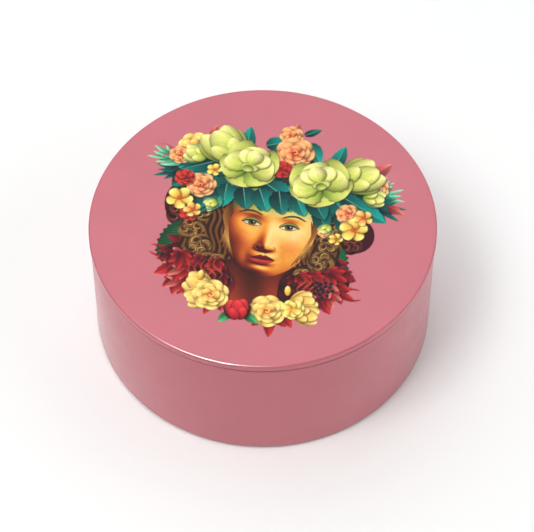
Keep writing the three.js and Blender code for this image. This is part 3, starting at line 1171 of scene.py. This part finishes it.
def draw_backdrop():
    """Leaves and tendrils behind the crown, and knots of hair and ferns beside the head."""
    for base, angle, size, colours in (
        ((-27, 25), 158, 9, SEA), ((-25, 20), 176, 9, TEAL_DARK), ((35, 9), 8, 9, SEA),
        ((34, 6), -22, 10, TEAL_DARK), ((36, 12), 52, 6, SEA),
    ):
        for turn, share in ((-38, 0.7), (34, 0.72), (-16, 0.95), (15, 1.0), (0, 0.85)):
            leaf(base, angle + turn, size * share, size * 0.20, colours, ribbed=False, teeth=0.12)
    spray((-26, 27), 155, 8, ROSEWOOD, 3, 24, 0.5)
    for base, angle, size in (
        ((-16, 33), 72, 5.5), ((10.5, 33), 84, 6), ((33, 17), 38, 9), ((38, 6), -32, 6),
    ):
        leaf(base, angle, size, size * 0.5, ROSEWOOD, ribbed=False, teeth=0.15)
    for centre, wide, high in (((-24.5, 7.5), 5.6, 8.2), ((27.5, -5.0), 6.4, 7.0)):
        ink(ring(*centre, wide, high, 24), plain(ramp(0.2, *WINE)))
        for lift in (-0.45, 0.45):
            middle = np.array(centre) + (0.3 * lift * wide, lift * high)
            curls(middle, 0.62 * high, 40, 1, KNOT)
    scalloped_leaf((-23, 0), 243, 16, 9.5)
    scalloped_leaf((22, -9), 262, 17, 9.0)


def draw_dress():
    """Wine and red foliage round the neck, with hair over it at both sides of the face."""
    spray((-25, -13), 168, 10, RED, 5, 34, 0.7)
    spray((21, -27), 8, 8.5, RED, 5, 40, 0.7)
    for base, angle, size, colours in (
        ((-20, -13), 206, 14, RED), ((-17, -16), 232, 14, RED), ((-22, -9), 190, 10, WINE),
        ((-12, -18), 236, 16, WINE), ((14, -24), 300, 12, RED), ((16, -21), 318, 12, RED),
        ((18, -17), 290, 14, WINE), ((8, -24), 286, 12, WINE), ((-14, -27), 244, 8, RED),
        ((2, -33), 268, 9.5, RED), ((5, -32), 296, 8, RED), ((10, -29), 300, 7, RED),
    ):
        lobed_leaf(base, angle, size, colours)
    for outline, paint in (
        ([(-13, 13), (-20, 8), (-24, 1), (-25, -8), (-22, -15), (-16, -21), (-9, -22), (-8, -8)], LOCKS),
        ([(17, 10), (22, 3), (24, -5), (23, -13), (19, -21), (12, -25), (6, -20), (13, -6)], LOCKS),
        ([(-27, -9), (-31, -14), (-26, -17), (-24, -22), (-18, -25), (-10, -24), (-12, -15)], UNDERGROWTH),
        ([(22, -14), (26, -22), (23, -28), (15, -30), (5, -30), (5, -20), (16, -15)], UNDERGROWTH),
        ([(-10.5, -14), (-8.0, -23), (-11, -30), (-4, -34), (3, -31), (5, -22), (8, -16)], paint_neck),
    ):
        ink(through(outline, 6, True), paint)
    for centre, size, turn, way in (
        ((-21.5, -2.0), 4.6, 10, 1), ((-18.5, 4.0), 3.6, 60, -1), ((-19.5, -9.0), 4.8, 200, 1),
        ((-15.5, -14.5), 4.4, 120, -1), ((19.5, -8.5), 4.4, 30, -1), ((17.5, -15.0), 4.6, 150, 1),
        ((12.5, -20.5), 4.0, 250, -1), ((21.5, -3.0), 3.4, 300, 1),
    ):
        curls(centre, size, turn, way)
    for k in range(26):
        share, row = (k * 0.618) % 1, k % 3
        left = (-12 - 15 * share, -15.5 - 4.5 * row + 4 * share)
        right = (9.5 + 13 * share, -20.5 - 3.6 * row + 1.5 * share)
        colours = (RED, WINE, RED, ROSEWOOD)[k % 4] if k % 5 else WINE
        turn = 60 * ((k * 0.37) % 1)
        lobed_leaf(left, 205 + turn, 5.0 + 1.5 * share, colours)
        lobed_leaf(right, 275 + turn, 4.6 + 1.5 * share, colours)
    tress = [WINE[2], (186, 74, 48), WINE[1]]
    for k in range(5):
        for top, fall in (
            ((-13.0 - 1.9 * k, -12.5 - 0.5 * k), [(0, 0), (-1.8, -3.5), (0.8, -7), (-1.4, -10)]),
            ((11.0 + 1.8 * k, -19.0 - 0.4 * k), [(0, 0), (1.8, -3), (-0.8, -6), (1.2, -9)]),
        ):
            stroke(np.array(top) + fall, 0.5, tress)


def draw_locks():
    """Locks that fall over the edge of the face."""
    for way in (-1, 1):
        for k in range(5):
            x = way * (13.4 - 0.35 * k)
            foot = (x + way * (0.4 - 0.9 * k), -10 - k)
            lock = [(x, 8 - k), (x + way * 1.1, 2 - k), (x - way * 0.6, -4 - k), foot]
            stroke(tilted(lock), 1.1 - 0.1 * k, LOCK)


def draw_collar():
    """Berries, buds and roses under the chin."""
    for k in range(17):
        middle = np.array([18.0, -25.2]) + 0.78 * math.sqrt(k) * heading(137.5 * k)
        ink(spot(middle, 0.62, 3), paint_berry)
    for base, angle, size in (
        ((-16, -25), 150, 8.5), ((-16, -27), 196, 7.5), ((8.5, -31.5), 22, 8.0), ((9.5, -33.5), -16, 7.5),
    ):
        bud(base, size, angle, PEACH, GOLD)
    rose((-15.5, -27.0), 5.6, 20, PEACH)
    rose((1.2, -33.0), 5.8, 70, PEACH)
    rose((8.8, -32.5), 3.6, 10, GOLD, rows=2)
    for base, angle in (((-19, -21.5), 78), ((7.4, -27.5), 88)):
        petal(base, angle, 3.6, 1.9, GOLD, root=0.5, tip=0.5)
    leaf((-9.5, -33.5), 220, 5.0, 3.2, EMERALD, ribbed=False, teeth=0.0)
    leaf((-5.5, -34.0), 318, 5.2, 3.0, EMERALD, ribbed=False, teeth=0.0)
    bud((-7.4, -36.0), 7.6, 92, CHERRY, WINE)


def draw_crown():
    """A dark ground and leaves first, then roses, blossoms and blooms."""
    ground = [
        (-26, 8), (-28, 17), (-25, 27), (-14, 28), (-2, 27), (7, 29), (14, 25), (23, 21), (33, 14), (32, 4),
        (27, -2), (19, 3), (8, 11), (-6, 13), (-17, 9),
    ]
    ink(through(ground, 6, True), GLOOM)
    for base, angle, length, width, colours in (
        ((-5.5, 27), 80, 11, 5.0, TEAL), ((1, 30), 12, 8, 5.6, TEAL), ((15, 31), -72, 9, 5.0, TEAL),
        ((22, 21), 66, 9.5, 4.6, TEAL), ((13, 34), 22, 6, 2.8, TEAL_DARK), ((-11, 20), 172, 16, 6.5, TEAL),
        ((-14, 24), 196, 12, 5.0, TEAL_DARK), ((-20, 18), 205, 9, 4.4, TEAL_DARK),
        ((-6, 15), 188, 17, 7.5, TEAL), ((-9, 12), 214, 13, 6.0, TEAL), ((2, 13), 250, 9, 7.0, TEAL_DARK),
        ((1, 15), 318, 13, 8.0, TEAL), ((9, 12), 262, 8, 6.0, TEAL_DARK), ((12, 11), 328, 16, 9.0, TEAL),
        ((20, 12), 300, 15, 8.0, TEAL), ((24, 10), 322, 17, 7.5, TEAL), ((28, 12), 344, 12, 5.0, TEAL_DARK),
        ((17, 6), 282, 10, 6.0, TEAL_DARK), ((24, 5), 268, 9, 5.0, TEAL_DARK),
        ((-15, 12), 238, 11, 5.0, TEAL_DARK), ((3, 24), 60, 8, 4.0, TEAL_DARK), ((32, 12), 12, 8, 3.2, SEA),
        ((-24, 24), 190, 8, 2.8, SEA), ((-11, 15), 262, 9, 6.5, TEAL), ((-6, 14), 275, 9, 6.5, TEAL_DARK),
        ((-1, 13), 284, 9, 7, TEAL), ((5, 12), 275, 9, 7, TEAL_DARK), ((10, 11), 286, 9, 6.5, TEAL),
        ((15, 10), 292, 10, 7, TEAL_DARK), ((-16, 14), 250, 9, 6, TEAL_DARK), ((-13, 10), 236, 7, 4, SEA),
    ):
        leaf(base, angle, length, width, colours)
    for centre, size, facing, colours in (
        ((-21.0, 30.0), 5.4, 120, PEACH), ((-25.5, 26.5), 3.6, 150, CORAL), ((9.0, 34.0), 3.8, 80, CORAL),
        ((10.0, 27.0), 6.2, 95, CORAL), ((6.0, 20.5), 3.4, 40, [*RED, (196, 60, 52)]),
        ((-19.0, 14.5), 4.8, 160, CORAL), ((-24.0, 17.5), 3.2, 190, [*RED, (210, 70, 50)]),
        ((34.5, 13.0), 4.4, 20, CORAL), ((26.0, 3.0), 3.8, 320, CORAL),
        ((-22.5, 3.5), 3.0, 250, [*RED, (214, 70, 50)]), ((19.0, -3.5), 2.6, 200, CORAL),
    ):
        rose(centre, size, facing, colours)
    for centre, size, facing, colours in (
        ((-25.5, 9.5), 4.2, 200, GOLD), ((-21.5, 5.0), 2.8, 250, PEACH), ((27.5, -3.0), 4.4, 300, GOLD),
        ((30.5, 1.5), 3.0, 330, PEACH), ((22.0, -6.5), 2.2, 280, GOLD), ((-15.0, 20.5), 2.4, 140, GOLD),
    ):
        blossom(centre, size, facing, colours)
    for base, facing, size in (
        ((-17.5, 25.5), 158, 7.5), ((-14, 8.0), 200, 4.2), ((31, 10.0), -14, 7.0), ((20, -1.0), 240, 4.2),
    ):
        bud(base, size, facing, LIME, SEA)
    bud((-9.0, 24.5), 14.0, 118, LIME, LIME_DEEP)
    bud((24.5, 15.0), 13.5, 24, LIME, LIME_DEEP)
    bloom((-3.8, 22.5), 9.2, 62)
    bloom((17.5, 15.5), 9.8, 100)


def filled(outline, low, step, shape):
    """Which samples of a grid lie inside an outline: the box they lie in and a mask over it."""
    near = np.maximum(np.floor((outline.min(axis=0) - low) / step).astype(int), 0)
    far = np.minimum(np.ceil((outline.max(axis=0) - low) / step).astype(int) + 1, (shape[1], shape[0]))
    if (far <= near).any():
        return None
    start, end = outline, np.roll(outline, -1, axis=0)
    rows = low[1] + step * np.arange(near[1], far[1])[:, None]
    rise = end[:, 1] - start[:, 1]
    crosses = (start[:, 1] <= rows) != (end[:, 1] <= rows)
    share = (rows - start[:, 1]) / np.where(rise == 0, 1, rise)
    x = start[:, 0] + share * (end[:, 0] - start[:, 0])
    column = np.clip(np.ceil((x - low[0]) / step).astype(int) - near[0], 0, far[0] - near[0])
    row, edge = np.nonzero(crosses)
    turns = np.zeros((far[1] - near[1], far[0] - near[0] + 1), int)
    np.add.at(turns, (row, column[crosses]), np.sign(rise).astype(int)[edge])
    return (slice(near[1], far[1]), slice(near[0], far[0])), np.cumsum(turns, axis=1)[:, :-1] != 0


def clipped(mask, box, limit, shape):
    """The part of a mask that lies inside another filled outline too."""
    within = np.zeros(shape, bool)
    if limit is not None:
        within[limit[0]] = limit[1]
    return mask & within[box]


def develop(low, high, spacing):
    """The picture as it shows on a lattice: the corners, the covered triangles, and each corner's
    colour and cover. The shapes are filled from the top down, each where nothing covers it yet."""
    step = spacing / FINENESS
    columns, rows = np.ceil((high - low) / spacing).astype(int)
    shape = (rows * FINENESS, columns * FINENESS)
    first = low + step / 2
    colour, free, light = np.zeros((*shape, 3)), np.ones(shape, bool), np.ones(shape)
    for outline, paint, clip in reversed(inks):
        found = filled(outline, first, step, shape)
        if found is None:
            continue
        box, mask = found
        mask &= free[box]
        if clip == SHADOW:
            light[box][mask] = np.minimum(light[box][mask], paint)
            continue
        if clip is not None:
            mask = clipped(mask, box, filled(inks[clip][0], first, step, shape), shape)
        if mask.any():
            row, column = np.nonzero(mask)
            where = first + step * np.stack([column + box[1].start, row + box[0].start], axis=1)
            colour[box][mask] = np.clip(paint(where), 0, 255) * light[box][mask][:, None]
            free[box][mask] = False
    blocks = (rows, FINENESS, columns, FINENESS)
    cover = (~free).reshape(blocks).mean(axis=(1, 3))
    mixed = colour.reshape(*blocks, 3).mean(axis=(1, 3)) / np.maximum(cover, 1e-6)[..., None]
    x, y = [low[k] + spacing * (np.arange(count) + 0.5) for k, count in enumerate((columns, rows))]
    corners = np.stack(np.meshgrid(x, y), axis=-1).reshape(-1, 2)
    a, d, c, b = np.array(grid_faces(rows, columns)).T
    faces = np.concatenate([np.stack([a, b, c], axis=1), np.stack([a, c, d], axis=1)])
    cover = cover.reshape(-1)
    return corners, faces[(cover[faces] > 0).any(axis=1)], mixed.reshape(-1, 3), cover


def printed_ink():
    """Ink under the lid's lacquer: the picture's colours with a fine litho grain, and at its edge
    the bare lacquer."""
    s = Shader("lid_print")
    settings = {"layer_name": "ink"}
    colour, cover = (s.node("ShaderNodeVertexColor", kind, settings) for kind in ("Color", "Alpha"))
    fine, coarse = s.spread(s.noise(2300, 4, 0.7), 0.88, 1.10), s.spread(s.noise(420, 3), 0.94, 1.05)
    grain = s.math("MULTIPLY", fine, coarse)
    grey = s.node("ShaderNodeCombineColor", 0, None, Red=grain, Green=grain, Blue=grain)
    settings = {"data_type": "RGBA", "blend_type": "MULTIPLY"}
    picture = s.node("ShaderNodeMix", 2, settings, i0=1.0, i6=colour, i7=grey)
    s.set(
        Base_Color=s.between(cover, (*PINK, 1), picture),
        Roughness=s.spread(s.noise(160, 4), 0.32, 0.40),
        IOR=1.5,
        Specular_IOR_Level=s.spread(cover, 0.5, 0.12, 0, 1),
        Coat_Weight=s.spread(cover, 0.4, 0.05, 0, 1),
        Coat_Roughness=0.07,
    )
    return s.material


def linear(colour):
    """sRGB colours of 0 to 1 in linear light."""
    return np.where(colour <= 0.04045, colour / 12.92, ((colour + 0.055) / 1.055) ** 2.4)


def make_sheet(name, corners, faces, colour, cover, height, material):
    """A flat sheet whose corners carry the ink's colour, and how far it covers as alpha."""
    used, loops = np.unique(faces, return_inverse=True)
    level = np.full((len(used), 1), TIN_TOP + height)
    mesh = bpy.data.meshes.new(name)
    mesh.from_pydata(np.hstack([corners[used] * MM, level]).tolist(), [], loops.reshape(-1, 3).tolist())
    mesh.materials.append(material)
    layer = mesh.color_attributes.new("ink", "FLOAT_COLOR", "POINT")
    alpha = cover[used, None]
    bare = alpha < LEAST_COVER
    values = np.hstack([np.where(bare, PINK, linear(colour[used] / 255)), np.where(bare, 0, alpha)])
    layer.data.foreach_set("color", values.reshape(-1))
    stand_for(add_object(name, mesh), "lid", "lid_print")


def in_head(points, margin):
    """Inside the oval of the head, or within a margin round it."""
    x, y = upright(points).T
    return (x / (HEAD_HALF_WIDTH + margin)) ** 2 + (y / (HEAD_HALF + margin)) ** 2 < 1


def make_picture():
    """Three sheets of ink: the crown, the collar, and over them both the head, on a finer lattice."""
    draw_backdrop()
    draw_dress()
    draw_head()
    draw_locks()
    draw_collar()
    draw_crown()
    material = printed_ink()
    whole = np.concatenate([outline for outline, *_ in inks])
    corners, faces, *look = develop(whole.min(axis=0) - BORDER, whole.max(axis=0) + BORDER, SCREEN)
    faces = faces[~in_head(corners, 0)[faces].all(axis=1)]
    upper = corners[faces].mean(axis=1)[:, 1] > CROWN_FOOT
    make_sheet("print_crown", corners, faces[upper], *look, INK_HEIGHT, material)
    make_sheet("print_collar", corners, faces[~upper], *look, INK_HEIGHT, material)
    oval = tilted(ring(0, 0, HEAD_HALF_WIDTH + HEAD_BORDER, HEAD_HALF + HEAD_BORDER, 40))
    corners, faces, *look = develop(oval.min(axis=0), oval.max(axis=0), FACE_SCREEN)
    faces = faces[in_head(corners, OVERLAP)[faces].all(axis=1)]
    make_sheet("print_head", corners, faces, *look, HEAD_HEIGHT, material)


# The puff: velour below, satin above, foam between them, piping round the seam and a ribbon strap.

SKIN_RINGS = 34  # rings of corners from the middle of each side to the seam
SEAM_RADIUS = 47.0 * MM
SEAM = PUFF_SEAM + 0.2 * MM
UNDERSIDE = [(0, 0.9), (20, 0.9), (38, 0.9), (44, 1.5), (46.9, 3.5), (47.5, 5.5)]  # above the puff's base
BACK = [(0, -1.2), (20, -1.7), (34, -2.7), (42, -3.7)]  # below the puff's top
SWELL_SCALE = 20  # the cushion swells this many times larger, at a size that suits cloth
SWELL_FRAMES = 18
SWELL_PRESSURE = 4
SWELL_SHRINK = -0.05  # negative: the cloth grows, so it is slack
SWELL_LIMIT = 1.6 * MM
PUCKERS = 56
PUCKER_REACH = 6 * MM  # how far the puckers run in from the seam
PUCKER_HEIGHT = 0.35 * MM
PUCKER_DEPTH = 0.22 * MM  # how far they are pulled down again once the cushion is full
FLOOR_GIVE = 0.25 * MM  # how softly the underside settles on what it rests on
VELOUR_GAUGE = 1.2 * MM
SATIN_GAUGE = 0.4 * MM
FOAM_BEND = 1.2 * MM
PIPING_RADIUS = 0.75 * MM
PIPING_TURNS = 480  # chords round the seam
PIPING_SIDES = 12
PIPING_STITCHES = 120
STRAP_SPAN = 86 * MM
STRAP_WIDTH = 22 * MM
STRAP_RISE = 7.6 * MM
STRAP_GAUGE = 0.5 * MM
STRAP_CUP = 0.4 * MM  # how far the ribbon's middle stands above its edges
STRAP_END_DROP = 1.5 * MM
STRAP_RIPPLE = 0.06 * MM
RIPPLE_LENGTH = 2.1 * MM
STRAP_FOOT = corner("puff_strap", 0)[2]
STRAP_STEPS = 72
STRAP_CORNERS = 15  # across the ribbon
LEAST_RISE = 0.36 * MM  # of the ribbon's middle layer above the satin
THREAD = 0.16 * MM  # half the thickness of the sewing thread
THREAD_SIDES = 6
STITCH_INSET = 1.4 * MM
STITCH_BOX = 6 * MM
STITCH_RISE = 0.25 * MM + 0.3 * THREAD  # of a thread's middle above the ribbon's middle layer


def radial_disc(radii, heights):
    """Corners in rings of 6, 12, 18 and so on, and the triangles between them."""
    points = [(0, 0, heights[0])]
    for k in range(1, len(radii)):
        turn = np.radians(np.arange(6 * k) * 60 / k)
        points += list(zip(radii[k] * np.cos(turn), radii[k] * np.sin(turn), turn * 0 + heights[k]))

    def number(k, i):
        """The corner i of ring k."""
        return 1 + 3 * k * (k - 1) + i % (6 * k) if k else 0

    faces = []
    for k in range(1, len(radii)):
        for side in range(6):
            for j in range(k):
                outer, inner = side * k + j, side * (k - 1) + j
                faces.append((number(k, outer), number(k, outer + 1), number(k - 1, inner)))
                if j < k - 1:
                    faces.append((number(k, outer + 1), number(k - 1, inner + 1), number(k - 1, inner)))
    return np.array(points), faces


def skin_disc(stations, level):
    """A slack disc out to the seam, through stations of radius and height above a level."""
    line = through([(r * MM, level + h * MM) for r, h in stations] + [(SEAM_RADIUS, SEAM)], 12)
    length = np.concatenate([[0], np.cumsum(np.linalg.norm(np.diff(line, axis=0), axis=1))])
    wanted = np.linspace(0, length[-1], SKIN_RINGS + 1)
    return radial_disc(np.interp(wanted, length, line[:, 0]), np.interp(wanted, length, line[:, 1]))


def swell(points, faces, held):
    """Blows up a closed skin of slack cloth whose held corners stay put."""
    mesh = bpy.data.meshes.new("skin")
    mesh.from_pydata((points * SWELL_SCALE).tolist(), [], faces)
    piece = add_object("skin", mesh)
    piece.vertex_groups.new(name="held").add(held, 1.0, "REPLACE")
    cloth = piece.modifiers.new("Cloth", "CLOTH")
    cloth.settings.vertex_group_mass = "held"
    cloth.settings.use_pressure = True
    cloth.settings.uniform_pressure_force = SWELL_PRESSURE
    cloth.settings.shrink_min = SWELL_SHRINK
    cloth.settings.quality = 6
    cloth.settings.effector_weights.gravity = 0
    cloth.point_cache.frame_end = SWELL_FRAMES
    for frame_number in range(1, SWELL_FRAMES + 1):
        bpy.context.scene.frame_set(frame_number)
    shaped = piece.evaluated_get(bpy.context.evaluated_depsgraph_get())
    ends = np.array([v.co for v in shaped.data.vertices]) / SWELL_SCALE
    bpy.data.objects.remove(piece)
    bpy.context.scene.frame_set(1)
    moved = ends - points
    far = np.linalg.norm(moved, axis=1, keepdims=True)
    return points + moved * np.minimum(1, SWELL_LIMIT / np.maximum(far, 1e-9))


def swollen_skins():
    """The corners of both skins and their triangles. The two share the corners of the seam, and the
    satin is tucked there."""
    lower, faces = skin_disc(UNDERSIDE, PUFF_BASE)
    upper, _ = skin_disc(BACK, PUFF_TOP)
    count, seam_corners = len(lower), 6 * SKIN_RINGS
    rim = count - seam_corners
    turn = np.arctan2(upper[:, 1], upper[:, 0])
    edge = np.exp(-((SEAM_RADIUS - np.hypot(upper[:, 0], upper[:, 1])) / PUCKER_REACH))
    tucks = np.sin(PUCKERS * turn + 1.3 * np.sin(5 * turn)) * (0.75 + 0.25 * np.sin(9 * turn + 1))
    upper[:rim, 2] += (PUCKER_HEIGHT * tucks * edge)[:rim]
    above = [tuple(v + count if v < rim else v for v in face) for face in faces]
    below = [tuple(reversed(face)) for face in faces]
    grown = swell(np.vstack([lower, upper[:rim]]), below + above, list(range(rim, count)))
    lower, upper = grown[:count].copy(), np.vstack([grown[count:], grown[rim:count]])
    rest = PUFF_BASE + 0.05 * MM
    lower[:, 2] = rest + np.logaddexp(0, (lower[:, 2] - rest) / FLOOR_GIVE) * FLOOR_GIVE
    lower[:, 2] = np.minimum(lower[:, 2], SEAM)
    wide = np.hypot(lower[:, 0], lower[:, 1])[:, None]
    lower[:, :2] *= np.minimum(1, (PUFF_RADIUS - 0.1 * MM) / np.maximum(wide, 1e-9))
    upper[:, 2] = np.minimum(upper[:, 2] + 0.2 * MM, PUFF_TOP)
    upper[:, 2] -= PUCKER_DEPTH * np.abs(tucks) ** 3 * edge
    return (lower, below), (upper, faces)


def make_skin(name, skin, material, gauge, slot, node):
    piece = new_piece(name, *skin, [material], sharp=180)
    apply_modifier(piece, "SUBSURF", levels=1, render_levels=1)
    apply_modifier(piece, "SOLIDIFY", thickness=gauge, offset=-1)
    stand_for(piece, "puff", slot, node)
    return piece


def make_foam(material):
    low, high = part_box("puff_core")
    height = high[2] - low[2]
    crown = [
        (high[0] * share, low[2] + height * (0.45 + 0.5 * math.cos(QUARTER * share)))
        for share in (0.9, 0.7, 0.5, 0.25, 0)
    ]
    outline = [(0, low[2]), *arc(high[0] - FOAM_BEND, low[2] + FOAM_BEND, FOAM_BEND, -1, 0), *crown]
    pad = stand_for(lathe("puff_foam", outline, [material], turns=96), "puff", "foam", "puff_core")


def make_piping(cover):
    """Corded piping, pulled in a little at each stitch."""
    low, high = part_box("puff_piping")
    ring_radius, level = high[0] - PIPING_RADIUS, (low[2] + high[2]) / 2
    points = []
    for i in range(PIPING_TURNS):
        turn = 2 * math.pi * i / PIPING_TURNS
        thick = PIPING_RADIUS * (0.93 + 0.07 * math.cos(PIPING_STITCHES * turn))
        for j in range(PIPING_SIDES):
            angle = 2 * math.pi * j / PIPING_SIDES
            r = ring_radius + thick * math.cos(angle)
            points.append((r * math.cos(turn), r * math.sin(turn), level + thick * math.sin(angle)))
    faces = grid_faces(PIPING_TURNS, PIPING_SIDES, True, True)
    piping = new_piece("puff_piping_cord", points, faces, [cover], sharp=180)
    stand_for(piping, "puff", "satin", "puff_piping")


def make_strap(band, back, thread):
    """A ribbon that bows up over the cushion's back, sewn down flat at both ends."""
    half = STRAP_SPAN / 2
    under = BVHTree.FromPolygons([v.co for v in back.data.vertices], [p.vertices for p in back.data.polygons])

    def on_ribbon(x, side):
        """A point of the ribbon, side from -1 to 1 across it, bowed or laid on the cushion's back."""
        y = side * STRAP_WIDTH / 2
        height = STRAP_FOOT + STRAP_RISE * math.cos(QUARTER * x / half)
        height -= STRAP_END_DROP * float(soft(half - 9 * MM, half - 2 * MM, abs(x)))
        height += STRAP_CUP * (1 - side**2) * (1 - (abs(x) / half) ** 4)
        height += STRAP_RIPPLE * math.sin(x / RIPPLE_LENGTH + 2 * side) * side**4
        hit = under.ray_cast(Vector((x, y, TIN_TOP)), Vector((0, 0, -1)))[0]
        return (x, y, height if hit is None else max(height, hit.z + LEAST_RISE))

    length = np.linspace(-half, half, STRAP_STEPS + 1)
    points = [on_ribbon(x, side) for x in length for side in np.linspace(-1, 1, STRAP_CORNERS)]
    strap = new_piece("ribbon_strap", points, grid_faces(len(length), STRAP_CORNERS), [band], sharp=180)
    apply_modifier(strap, "SOLIDIFY", thickness=STRAP_GAUGE, offset=0)
    stand_for(strap, "puff", "ribbon", "puff_strap")
    middle = np.array([on_ribbon(x, 0)[2] for x in length])
    stitches = make_stitches(on_ribbon, half, thread)


def make_stitches(on_ribbon, half, thread):
    """A box of running stitches at each end of the strap."""
    points, faces = [], []
    reach = 1 - 2 * STITCH_INSET / STRAP_WIDTH
    for end in (-1, 1):
        outer, inner = end * (half - STITCH_INSET), end * (half - STITCH_INSET - STITCH_BOX)
        box = [(outer, -reach), (outer, reach), (inner, reach), (inner, -reach)]
        for start, stop in zip(np.array(box), np.array(box[1:] + box[:1])):
            count = 9 if start[0] == stop[0] else 3
            along = Vector((*(stop - start) * (1, STRAP_WIDTH / 2), 0)).normalized()
            across = Vector((-along.y, along.x, 0))
            for k in range(count):
                faces += grid_faces(6, THREAD_SIDES, False, True, len(points))
                first = len(points)
                for share in np.linspace(0.2, 0.8, 6):
                    middle = Vector(on_ribbon(*(start + (stop - start) * (k + share) / count)))
                    middle.z += STITCH_RISE
                    thick = THREAD * (1 - 0.7 * ((share - 0.5) / 0.3) ** 4)
                    for j in range(THREAD_SIDES):
                        a = 2 * math.pi * j / THREAD_SIDES
                        rise = Vector((0, 0, thick * math.sin(a)))
                        points.append(tuple(middle + across * thick * math.cos(a) + rise))
                faces += [tuple(range(first, first + 6)), tuple(range(first + 35, first + 29, -1))]
    return stand_for(new_piece("strap_stitches", points, faces, [thread], sharp=180), "puff", "ribbon")


# The scene.

make_camera()
make_light()

pink, gold = lacquer(), gold_tinplate()
make_body(pink, gold)
make_lid(pink, gold)
make_plug_ring(gold)
make_wad(board("pulpboard", (0.70, 0.60, 0.45), (0.52, 0.42, 0.29)))
make_label(ruled_label())
make_talc(talc())
make_insert(moulded("cream_plastic", (0.83, 0.77, 0.66)))
make_dial(moulded("dial_plastic", (0.71, 0.36, 0.40)))
make_rivet(brass())
make_picture()

cover = satin("satin", (0.71, 0.30, 0.34))
face, back = swollen_skins()
make_skin("puff_velour", face, velour(), VELOUR_GAUGE, "velour", "puff_pile")
puff_back = make_skin("puff_satin", back, cover, SATIN_GAUGE, "satin", "puff_backing")
make_foam(foam())
make_piping(cover)
make_strap(satin("ribbon", (0.62, 0.20, 0.25)), puff_back, satin("thread", (0.80, 0.52, 0.54)))

floor_corners = [(x * FLOOR_HALF, y * FLOOR_HALF, 0) for x, y in ((-1, -1), (1, -1), (1, 1), (-1, 1))]
floor = new_piece("floor", floor_corners, [(0, 1, 2, 3)], [floor_paper()])
